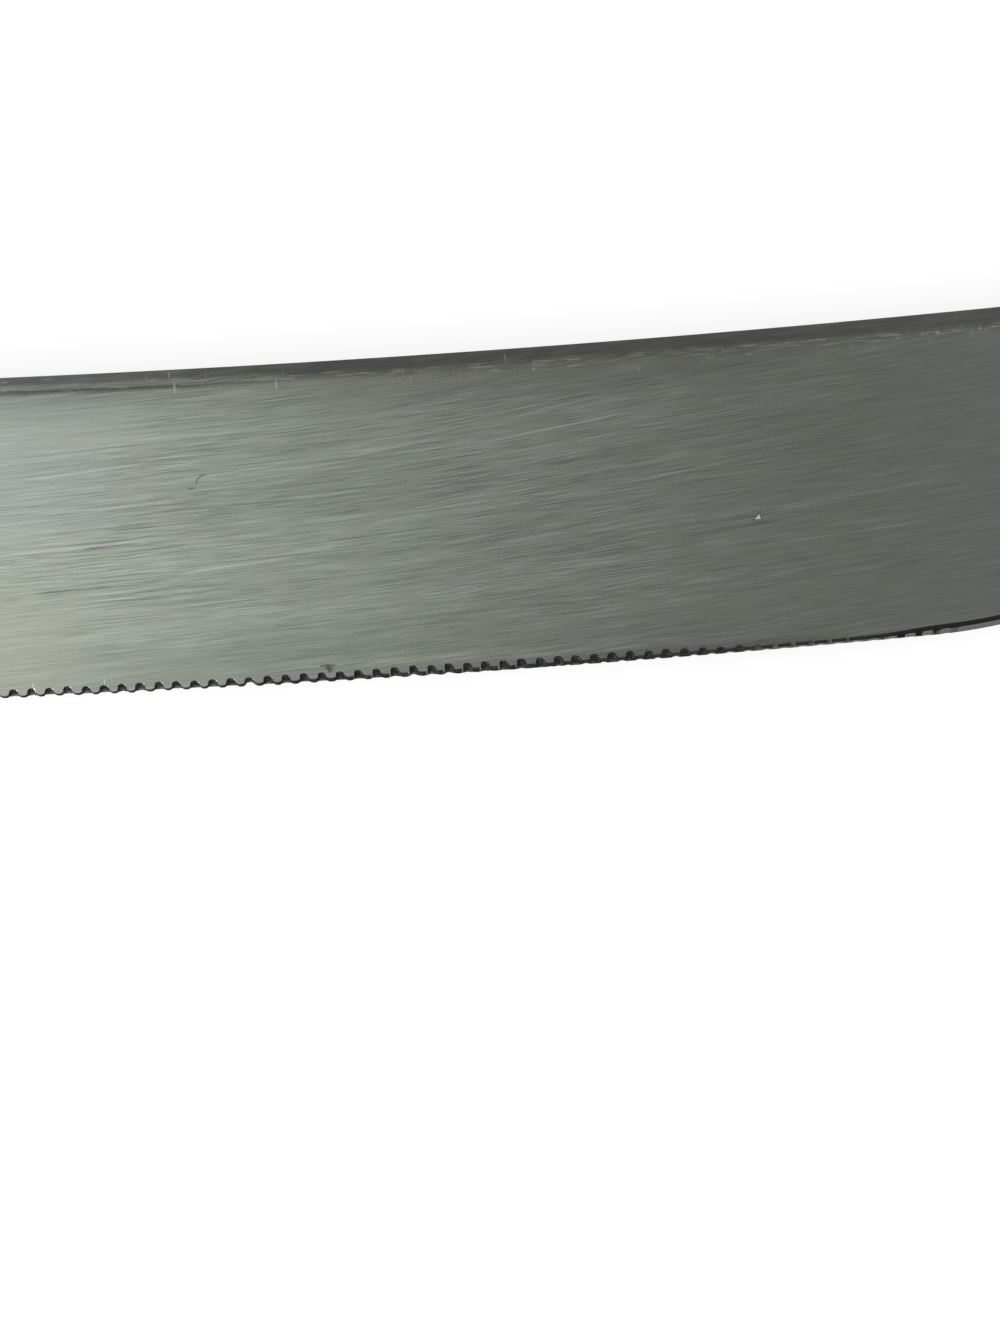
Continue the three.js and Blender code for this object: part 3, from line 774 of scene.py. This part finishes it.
# Marks of use, where the photograph shows them. A nick: its pixel, half its size along and across, and how
# plain it is. A scratch: the pixels of its two ends, and how plain it is.
FAR_OFF = 9.0
STAIN_PIXELS = ((328, 665.5), (330, 668.5))
STAIN_HALVES = ((0.75, 0.12), (0.32, 0.34))
DASH_PIXEL = (192, 489)
HOOK_PIXEL = (206, 484.5)
HOOK_RADIUS = 0.78
NICKS = (
    (5, 383, 0.45, 0.09, 0.55),
    (6, 392, 0.32, 0.10, 0.50),
    (33.2, 685, 0.06, 0.22, 1.00),
    (34.6, 688.8, 0.06, 0.18, 0.90),
    (35.8, 691.8, 0.06, 0.15, 0.80),
    (48, 380, 0.70, 0.12, 0.20),
    (76.5, 386, 0.08, 0.36, 0.45),
    (105, 682, 0.06, 0.32, 0.80),
    (147, 379, 0.07, 0.25, 0.35),
    (154, 381, 0.30, 0.10, 0.40),
    (169.5, 376, 0.09, 0.34, 0.50),
    (175.5, 388, 0.11, 0.72, 0.90),
    (176, 380, 0.62, 0.10, 0.45),
    (186, 380.5, 0.90, 0.09, 0.45),
    (206, 376.5, 0.08, 0.20, 0.40),
    (264, 380.3, 2.60, 0.08, 0.55),
    (277, 385.5, 0.09, 0.52, 0.85),
    (283.5, 372.5, 0.07, 0.32, 0.30),
    (495, 371.5, 0.60, 0.10, 0.40),
    (505, 358.5, 0.11, 0.45, 0.30),
    (534, 362.5, 0.06, 0.32, 0.50),
    (533.5, 370, 0.20, 0.18, 0.55),
    (573, 366.5, 0.70, 0.10, 0.40),
    (630, 368.5, 1.50, 0.30, 0.14),
    (638.5, 370, 0.10, 0.35, 0.35),
    (710, 358.5, 0.50, 0.10, 0.35),
    (748, 355, 0.35, 0.12, 0.40),
    (872, 347, 0.07, 0.35, 0.35),
    (872, 342, 1.00, 0.08, 0.50),
    (897, 339, 0.40, 0.09, 0.35),
    (936, 333.7, 0.19, 0.13, 0.65),
    (945, 334, 0.50, 0.08, 0.28),
    (978, 329.7, 0.11, 0.14, 0.80),
)
LIGHT_SCRATCHES = (
    ((470, 446), (660, 406), 0.75),
    ((755, 514), (955, 476), 0.55),
    ((722, 586), (812, 567), 0.60),
    ((775, 544), (930, 520), 0.45),
    ((600, 488), (733, 461), 0.55),
    ((183, 573), (296, 557), 0.85),
    ((22, 481), (148, 464), 0.65),
    ((0, 556), (200, 535), 0.60),
)
DARK_SCRATCHES = (
    ((683, 538), (787, 519), 0.36),
    ((79, 550), (147, 543), 0.62),
    ((33, 594), (117, 586), 0.58),
    ((225, 506), (300, 500), 0.45),
)
# The corners and colour of a painted glint in a small dent
GLINT_CORNERS = ((753.9, 519.6), (760.2, 519.4), (758.4, 514.4))
GLINT_TONE = (0.40, 0.43, 0.39)

blade_map = wire("CombineXYZ", {0: ahead_mark, 1: below_mark})


def from_pixel(pixel, half_long=1.0, half_high=1.0):
    """How far the face lies from a photograph pixel, in half sizes along and across the blade."""
    ahead, below = photo_place(*pixel)
    aside = wire("VectorMath", {0: blade_map, 1: (ahead, below, 0.0)}, operation="SUBTRACT")
    halves = {0: aside, 1: (1 / half_long, 1 / half_high, 0.0)}
    share = wire("VectorMath", halves, operation="MULTIPLY")
    return new_node("VectorMath", {0: share}, operation="LENGTH").outputs["Value"]


# Painted shade in the gullets, on the steep bevel and just above it: near black with lighter specks, dull
# and rough. Where the mark is negative, the honed strip is painted grey.
shade_and_honing = mark("shade_and_honing")
shade_amount = sum_up("MULTIPLY_ADD", grain(along_blade, 0.5, 0.3, 0.0, 2.0, 0.8), 0.5, -0.25)
in_shade = spread(sum_up("ADD", shade_and_honing, shade_amount), 0.18, 0.82)
ragged = sum_up("MULTIPLY_ADD", grain(along_blade, 0.35, 0.25, 0.0, 2.0, 0.6), 2.4, -1.2)
stain = FAR_OFF
for pixel, halves in zip(STAIN_PIXELS, STAIN_HALVES):
    stain = sum_up("MINIMUM", stain, from_pixel(pixel, *halves))
stain = spread(sum_up("ADD", stain, ragged), 1.25, 0.55)
stain = times(stain, show_side, 0.7)
colour = blend(spread(shade_and_honing, -0.02, -0.25), colour, HONED_GREY)
colour = blend(stain, colour, STAIN_BROWN)
shade_specks = spread(grain(along_blade, 0.16, 0.12, 0.0, 1.0, 0.35), 0.50, 0.66)
shade_specks = times(shade_specks, spread(ahead_mark, 46, 64, 0.15, 1.0))
colour = blend(in_shade, colour, blend(shade_specks, SHADE_BLACK, SHADE_SPECK))

hook_ahead, hook_below = photo_place(*HOOK_PIXEL)
off_hook = sum_up("ABSOLUTE", sum_up("SUBTRACT", from_pixel(HOOK_PIXEL), HOOK_RADIUS))
hook = times(spread(off_hook, 0.09, 0.03), spread(below_mark, hook_below, hook_below - 0.1))
hook = times(hook, spread(ahead_mark, hook_ahead - 0.15, hook_ahead))
hook = larger(hook, spread(from_pixel(DASH_PIXEL, 0.38, 0.08), 1.2, 0.5))
colour = blend(times(hook, show_side, 0.62), colour, DARK_MARK_AND_SHADE)

nicks = 0.0
for pixel_across, pixel_down, half_long, half_high, bright in NICKS:
    off_nick = from_pixel((pixel_across, pixel_down), half_long, half_high)
    nicks = larger(nicks, spread(off_nick, 1.2, 0.4, 0.0, bright))
colour = blend(times(nicks, show_side), colour, SCUFF_LIGHT)


def past_line(spot, way):
    """How far the face lies past a line through a spot, in the way square to that line."""
    along = new_node("VectorMath", {0: blade_map, 1: (*way, 0.0)}, operation="DOT_PRODUCT")
    return sum_up("SUBTRACT", along.outputs["Value"], way.dot(spot))


def long_scratch(start, end, strength):
    """Where a thin scratch between two photograph pixels shows, fading towards its ends."""
    start, end = Vector(photo_place(*start)), Vector(photo_place(*end))
    way = (end - start).normalized()
    off_middle = sum_up("ABSOLUTE", past_line((start + end) / 2, way))
    off_line = sum_up("ABSOLUTE", past_line(start, Vector((-way.y, way.x))))
    half_length = (end - start).length / 2
    thin = spread(off_line, 0.13, 0.03)
    return times(thin, spread(off_middle, half_length, 0.6 * half_length, 0.0, strength))


broken = times(spread(fine_glaze, 0.35, 0.60, 0.45, 1.0), show_side)
for scratches, tone in ((LIGHT_SCRATCHES, SCUFF_LIGHT), (DARK_SCRATCHES, DARK_MARK_AND_SHADE)):
    shown = 0.0
    for start, end, strength in scratches:
        shown = larger(shown, long_scratch(start, end, strength))
    colour = blend(times(shown, broken), colour, tone)

# A small dent: painted shade round it, and a painted glint in it, dull and lighter
dent_glint = FAR_OFF
corners = [Vector(photo_place(*pixel)) for pixel in GLINT_CORNERS]
for k in range(3):
    along = corners[k - 1] - corners[k - 2]
    inward = Vector((-along.y, along.x)).normalized()
    inward *= copysign(1.0, inward.dot(corners[k] - corners[k - 1]))
    dent_glint = sum_up("MINIMUM", dent_glint, past_line(corners[k - 1], inward))
dent_shade = times(spread(dent_glint, -0.20, -0.04, 0.0, 0.35), show_side)
colour = blend(dent_shade, colour, DARK_MARK_AND_SHADE)
dent_glint = times(spread(dent_glint, -0.04, 0.05), show_side)
colour = blend(dent_glint, colour, GLINT_TONE)

roughness = spread(fine_glaze, 0.3, 0.7, 0.22, 0.31)
roughness = sum_up("MULTIPLY_ADD", in_shade, 0.35, roughness)
roughness = sum_up("MULTIPLY_ADD", band_painted_shade, 0.07, roughness)
dulled = larger(spread(in_shade, 0.5, 0.95, 0.0, 0.97), dent_glint)
tree.links.new(sum_up("SUBTRACT", 1.0, dulled), shader.inputs["Metallic"])
tangent = wire("Tangent", direction_type="UV_MAP", uv_map="across")
tree.links.new(tangent, shader.inputs["Tangent"])
relief = sum_up("MULTIPLY_ADD", fine_glaze, 0.5, long_glaze)
finish_off(colour, roughness, relief, strength=0.18, depth=0.02)
shader.inputs["Anisotropic"].default_value = 0.7
shader.inputs["Specular IOR Level"].default_value = 0.15
blade.data.materials.append(steel)
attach(blade, "root")
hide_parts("blade")

# Bolsters. Two nickel silver blocks in front of the scales, one on each side of the tang. They are filed to
# its outline, rounded over at the front and the long edges, and polished after they are pinned.
BOLSTER_LENGTH = 15.0
SCALE_THICKNESS = 6.2
EDGE_ROUND_IN = 4.6
EDGE_ROUND_DEEP = 4.4
SEAM = 0.10
CORNER_POWER = 6
DRILL_START = 0.5
DRILL_END = 9.0
ROUND_STEPS = 12

half_tang = BLANK_THICKNESS / 2
half_handle = half_tang + SCALE_THICKNESS
wall_top = half_handle - EDGE_ROUND_DEEP


def round_steps(length):
    """Places along a length with an edge round at its start, closer together where the round is steep."""
    turns = [EDGE_ROUND_IN * (1 - cos(pi / 2 * k / ROUND_STEPS)) for k in range(ROUND_STEPS + 1)]
    return turns + [length]


def bolster_solid(side):
    """Points and faces of one bolster: a domed grid, its walls and a flat inner face, finely chamfered."""
    lengths = round_steps(BOLSTER_LENGTH - SEAM) + [BOLSTER_LENGTH]
    points, faces = [], []
    for behind in lengths:
        belly, back = handle_line(behind, -1), handle_line(behind, 1)
        half_height = (back - belly) / 2
        insets = round_steps(half_height)
        ups = [belly + inset for inset in insets] + [back - inset for inset in reversed(insets[:-1])]
        for up in ups:
            from_side = max(0.0, 1 - min(up - belly, back - up) / EDGE_ROUND_IN)
            from_front = max(0.0, 1 - behind / EDGE_ROUND_IN)
            near = min(1.0, (from_side**CORNER_POWER + from_front**CORNER_POWER) ** (1 / CORNER_POWER))
            out = wall_top + EDGE_ROUND_DEEP * sqrt(1 - near**2)
            if behind == BOLSTER_LENGTH:
                out -= SEAM
            points.append((behind, up, out))
    rows, width = len(lengths), len(ups)
    for i in range(rows - 1):
        for k in range(width - 1):
            a = i * width + k
            faces.append((a, a + 1, a + 1 + width, a + width))
    loop = [i * width for i in range(rows)]
    loop += [(rows - 1) * width + k for k in range(1, width)]
    loop += [i * width + width - 1 for i in range(rows - 2, -1, -1)]
    loop += range(width - 2, 0, -1)
    for inset, out in ((0.0, half_tang + SEAM), (SEAM, half_tang)):
        first = len(points)
        for index in loop:
            behind, up, _ = points[index]
            inner_behind = lerp(inset, BOLSTER_LENGTH - inset, behind / BOLSTER_LENGTH)
            inner_up = lerp(up, handle_middle(behind), 2 * inset / front_height)
            points.append((inner_behind, inner_up, out))
        lower_loop = list(range(first, first + len(loop)))
        for k in range(len(loop)):
            following = (k + 1) % len(loop)
            faces.append((loop[k], loop[following], lower_loop[following], lower_loop[k]))
        loop = lower_loop
    faces.append(tuple(loop))
    return [place(-behind, up, side * out) for behind, up, out in points], faces


NICKEL_SILVER = (0.64, 0.61, 0.53)
NICKEL_LIGHT = (0.76, 0.73, 0.65)
NICKEL_TARNISH = (0.40, 0.36, 0.27)

nickel, tree, shader = new_finish("polished_nickel_silver")
solid = new_node("TexCoord").outputs["Object"]
tarnish = grain(solid, 6, 4, 15, 4.0, 0.1)
buffing = grain(solid, 0.09, 5, 8, 2.0, 0.5)
scratch_one = spread(grain(solid, 5, 0.05, 35, 1.0, 0.2), 0.68, 0.74)
scratch_two = spread(grain(solid, 7, 0.05, -62, 1.0, 0.6), 0.70, 0.76)
scratched = larger(scratch_one, scratch_two)
colour = blend(spread(buffing, 0.3, 0.7), NICKEL_SILVER, NICKEL_LIGHT)
colour = blend(spread(tarnish, 0.48, 0.78, 0.0, 0.55), colour, NICKEL_TARNISH)
roughness = spread(tarnish, 0.35, 0.75, 0.17, 0.30)
roughness = sum_up("MULTIPLY_ADD", scratched, 0.15, roughness)
relief = sum_up("MULTIPLY_ADD", scratched, -1.0, times(buffing, 0.4))
finish_off(colour, roughness, relief, strength=0.2, depth=0.02)
shader.inputs["Metallic"].default_value = 1.0

for node, side in (("bolster_front", 1), ("bolster_back", -1)):
    bolster = mesh_piece("nickel_" + node, *bolster_solid(side))
    outward(bolster)
    drill(bolster, [(pin_hole, side * DRILL_START), (pin_hole, side * DRILL_END)], pin_centres)
    bolster.data.materials.append(nickel)
    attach(bolster, "root")
    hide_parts(node)

# Bolster pins. Two lengths of nickel silver wire, driven through bolsters and tang and filed flush.
# Only a fine ring round each end shows where they are.
PIN_BREAK = 0.12
PIN_SEGMENTS = 48

pin_profile = [
    (PIN_RADIUS - PIN_BREAK, -half_handle),
    (PIN_RADIUS, -half_handle + PIN_BREAK),
    (PIN_RADIUS, half_handle - PIN_BREAK),
    (PIN_RADIUS - PIN_BREAK, half_handle),
]
for node, centre in zip(("bolster_pin_upper", "bolster_pin_lower"), pin_centres):
    pin = mesh_piece("wire_" + node, *lathe(pin_profile, [centre], PIN_SEGMENTS))
    outward(pin)
    pin.data.materials.append(nickel)
    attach(pin, "root")
    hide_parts(node)

# Handle scales. Two slabs of dark, oiled hardwood, glued and riveted to the tang behind the bolsters.
# They are shaped together with the tang, so all three share one outline, and their long edges are rounded.
RIVET_HEAD_RADIUS = 3.6
RIVET_HEAD_THICKNESS = 1.8
SPARE_LENGTH = 11.5
WALL_ROW = 0.6
OUTLINE_STEPS = 70
BUTT_STEPS = 90


def scale_solid(side):
    """Points and faces of one scale, reaching ahead of the bolster joint to be sawn off there."""
    ahead_of_joint = BOLSTER_LENGTH - SPARE_LENGTH
    along = [lerp(ahead_of_joint, butt_place, k / OUTLINE_STEPS) for k in range(OUTLINE_STEPS)]
    outline = [(behind, handle_line(behind, -1)) for behind in along]
    middle = handle_middle(butt_place)
    for k in range(BUTT_STEPS + 1):
        turn = lerp(-pi / 2, pi / 2, k / BUTT_STEPS)
        outline.append((butt_place + BUTT_ROUND * cos(turn), middle + BUTT_HEIGHT / 2 * sin(turn)))
    outline += [(behind, handle_line(behind, 1)) for behind in reversed(along)]
    count = len(outline)
    inward = []
    for k in range(count):
        before, after = Vector(outline[k - 1]), Vector(outline[(k + 1) % count])
        way = (after - before).normalized()
        inward.append(Vector((-way.y, way.x)))
    turns = [pi / 2 * k / ROUND_STEPS for k in range(ROUND_STEPS + 1)]
    levels = [(SEAM, half_tang), (0.0, half_tang + SEAM), (0.0, lerp(half_tang, wall_top, WALL_ROW))]
    levels += [(EDGE_ROUND_IN * (1 - cos(t)), wall_top + EDGE_ROUND_DEEP * sin(t)) for t in turns]
    points = []
    for inset, out in levels:
        for spot, way in zip(outline, inward):
            moved = Vector(spot) + inset * way
            points.append(place(-moved.x, moved.y, side * out))
    return points, ring_skin(len(levels), count)


def saw_off(piece, behind):
    """Saw a scale square across at the bolster joint and break the cut's edges finely."""
    solid = bmesh.new()
    solid.from_mesh(piece.data)
    everything = solid.verts[:] + solid.edges[:] + solid.faces[:]
    plane = {"plane_co": place(-behind, 0, 0), "plane_no": (1, 0, 0)}
    sawn = bmesh.ops.bisect_plane(solid, geom=everything, clear_inner=True, **plane)
    rim = [part for part in sawn["geom_cut"] if isinstance(part, bmesh.types.BMEdge)]
    bmesh.ops.edgeloop_fill(solid, edges=rim)
    bmesh.ops.recalc_face_normals(solid, faces=solid.faces)
    bmesh.ops.bevel(solid, geom=rim, offset=SEAM * MM, segments=2, affect="EDGES", profile=0.5)
    bmesh.ops.recalc_face_normals(solid, faces=solid.faces)
    solid.to_mesh(piece.data)
    solid.free()


WOOD_DARK = (0.040, 0.014, 0.008)
WOOD_MIDDLE = (0.120, 0.045, 0.022)
WOOD_LIGHT = (0.235, 0.100, 0.048)
WOOD_PORE = (0.014, 0.007, 0.005)

wood, tree, shader = new_finish("oiled_hardwood")
solid = new_node("TexCoord").outputs["Object"]
sway = grain(solid, 55, 16, 0.0, 2.0, 0.3)
swayed = wire("CombineXYZ", {1: times(sway, 7 * MM), 2: times(sway, 4 * MM)})
drift = wire("VectorMath", {0: solid, 1: swayed}, operation="ADD")
figure = grain(drift, 150, 2.6, 2.0, 3.0, 0.4)
fibres = grain(drift, 16, 0.20, 2.0, 3.0, 0.8)
pores = spread(grain(drift, 2.6, 0.11, 2.0, 1.0, 0.1), 0.64, 0.72)
colour = blend(spread(figure, 0.34, 0.62), WOOD_DARK, WOOD_MIDDLE)
colour = blend(spread(fibres, 0.42, 0.72, 0.0, 0.55), colour, WOOD_LIGHT)
colour = blend(times(pores, 0.85), colour, WOOD_PORE)
roughness = spread(fibres, 0.3, 0.7, 0.34, 0.46)
roughness = sum_up("MULTIPLY_ADD", pores, 0.25, roughness)
relief = sum_up("MULTIPLY_ADD", pores, -1.0, times(fibres, 0.5))
finish_off(colour, roughness, relief, strength=0.35, depth=0.06)

head_hole = RIVET_HEAD_RADIUS + CLEARANCE
head_floor = half_handle - RIVET_HEAD_THICKNESS - CLEARANCE
for node, side in (("scale_front", 1), ("scale_back", -1)):
    scale = mesh_piece("wood_" + node, *scale_solid(side))
    saw_off(scale, BOLSTER_LENGTH)
    stem = [(socket_hole, DRILL_START), (socket_hole, head_floor)]
    head = [(head_hole, head_floor), (head_hole, DRILL_END)]
    drill(scale, [(radius, side * out) for radius, out in stem + head], rivet_centres)
    scale.data.materials.append(wood)
    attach(scale, "root")
    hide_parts(node)

# Rivets. Three two-piece brass rivets: a post on the show side, pressed into a bored socket from the back.
# Their heads are sunk in the wood and sanded flush with it, which leaves fine lengthwise lines.
RIVET_POST_RADIUS = 1.4
HEAD_BREAK = 0.10
POST_LEAD = 0.2

BRASS_DULL = (0.46, 0.300, 0.115)
BRASS = (0.72, 0.500, 0.195)
BRASS_BRIGHT = (0.88, 0.670, 0.310)

brass, tree, shader = new_finish("satin_brass")
solid = new_node("TexCoord").outputs["Object"]
sanding = grain(solid, 6, 0.07, 1.0, 2.0, 0.2)
dulling = grain(solid, 3, 2, 30, 3.0, 0.7)
colour = blend(spread(sanding, 0.32, 0.68), BRASS, BRASS_BRIGHT)
colour = blend(spread(dulling, 0.42, 0.70, 0.0, 0.7), colour, BRASS_DULL)
roughness = spread(sanding, 0.3, 0.7, 0.26, 0.40)
finish_off(colour, roughness, sanding, strength=0.25, depth=0.02)
shader.inputs["Metallic"].default_value = 1.0

head_inner = half_handle - RIVET_HEAD_THICKNESS
post_end = -(head_inner - CLEARANCE)
post_profile = [
    (RIVET_POST_RADIUS - POST_LEAD, post_end),
    (RIVET_POST_RADIUS, post_end + POST_LEAD),
    (RIVET_POST_RADIUS, head_inner),
    (RIVET_HEAD_RADIUS, head_inner),
    (RIVET_HEAD_RADIUS, half_handle - HEAD_BREAK),
    (RIVET_HEAD_RADIUS - HEAD_BREAK, half_handle),
]
socket_profile = [
    (RIVET_HEAD_RADIUS - HEAD_BREAK, -half_handle),
    (RIVET_HEAD_RADIUS, -half_handle + HEAD_BREAK),
    (RIVET_HEAD_RADIUS, -head_inner),
    (RIVET_SOCKET_RADIUS, -head_inner),
    (RIVET_SOCKET_RADIUS, head_inner - CLEARANCE),
    (RIVET_POST_RADIUS + CLEARANCE, head_inner - CLEARANCE),
    (RIVET_POST_RADIUS + CLEARANCE, -head_inner),
]
for i, centre in enumerate(rivet_centres, 1):
    for half, profile in (("post", post_profile), ("socket", socket_profile)):
        node = "rivet_%s_%d" % (half, i)
        rivet = mesh_piece("brass_" + node, *lathe(profile, [centre]))
        outward(rivet)
        rivet.data.materials.append(brass)
        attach(rivet, "root")
        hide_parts(node)

# Floor and light. A plain white surface under the knife, one large soft lamp to the left of it and a weaker
# one behind the handle. The room is a dim grey that is brightest above the left of the photograph.
FLOOR_SIZE = 6.0
FLOOR_COLOUR = (0.85, 0.85, 0.85)
FLOOR_LIT = (0.36, 0.36, 0.36)
FLOOR_GLOW = 0.68

corners = [(x * FLOOR_SIZE / 2, y * FLOOR_SIZE / 2, 0.0) for x, y in ((-1, -1), (1, -1), (1, 1), (-1, 1))]
floor = mesh_piece("floor", corners, [(0, 1, 2, 3)])
white, tree, shader = new_finish("white_floor")
tree.nodes.remove(shader)
light_path = new_node("LightPath").outputs
seen = larger(light_path["Is Camera Ray"], light_path["Is Glossy Ray"])
seen = larger(seen, light_path["Is Transmission Ray"])
lit = wire("BsdfDiffuse", {"Color": (*FLOOR_LIT, 1.0)})
glow = wire("Emission", {"Color": (1.0, 1.0, 1.0, 1.0), "Strength": FLOOR_GLOW})
shown = wire("AddShader", {0: lit, 1: glow})
plain = wire("BsdfDiffuse", {"Color": (*FLOOR_COLOUR, 1.0)})
mixed = wire("MixShader", {0: seen, 1: plain, 2: shown})
tree.links.new(mixed, tree.nodes["Material Output"].inputs["Surface"])
floor.data.materials.append(white)


def soft_lamp(name, direction, distance, size, power):
    """A square lamp that faces the knife from a direction."""
    data = bpy.data.lights.new(name, "AREA")
    data.shape = "SQUARE"
    data.size = size
    data.energy = power
    lamp = bpy.data.objects.new(name, data)
    way = Vector(direction).normalized()
    lamp.location = way * distance
    lamp.rotation_euler = way.to_track_quat("Z", "Y").to_euler()
    bpy.context.scene.collection.objects.link(lamp)


soft_lamp("key_lamp", direction=(-0.86, -0.20, 0.52), distance=1.3, size=0.9, power=19.0)
soft_lamp("fill_lamp", direction=(0.80, 0.35, 0.55), distance=1.5, size=1.0, power=9.0)

ROOM_BRIGHT_WAY = (-0.428, -0.102, 0.898)
ROOM_TONES = (
    (0.0, 0.34), (0.55, 0.30), (0.66, 0.29), (0.73, 0.20), (0.80, 0.187),
    (0.88, 0.25), (0.93, 0.52), (0.965, 0.90), (1.0, 1.1),
)
ROOM_FRONT = (0.44, 0.44, 0.44)
ROOM_HORIZON = (0.45, 0.45, 0.45)

world = bpy.data.worlds.new("room")
bpy.context.scene.world = world
world.use_nodes = True
tree = world.node_tree
direction = new_node("TexCoord").outputs["Generated"]
towards = new_node("VectorMath", {0: direction, 1: ROOM_BRIGHT_WAY}, operation="DOT_PRODUCT")
ramp = new_node("ValToRGB", {0: towards.outputs["Value"]})
stops = ramp.color_ramp.elements
while len(stops) < len(ROOM_TONES):
    stops.new(0.5)
for stop, (where, tone) in zip(stops, ROOM_TONES):
    stop.position = where
    stop.color = (tone, tone, tone, 1.0)
heading = new_node("SeparateXYZ", {0: direction}).outputs
room_colour = blend(spread(heading[1], -0.35, -0.75), ramp.outputs[0], ROOM_FRONT)
room_colour = blend(spread(heading[2], 0.25, 0.02), room_colour, ROOM_HORIZON)
tree.links.new(room_colour, tree.nodes["Background"].inputs["Color"])

bpy.context.scene.view_settings.view_transform = "Standard"
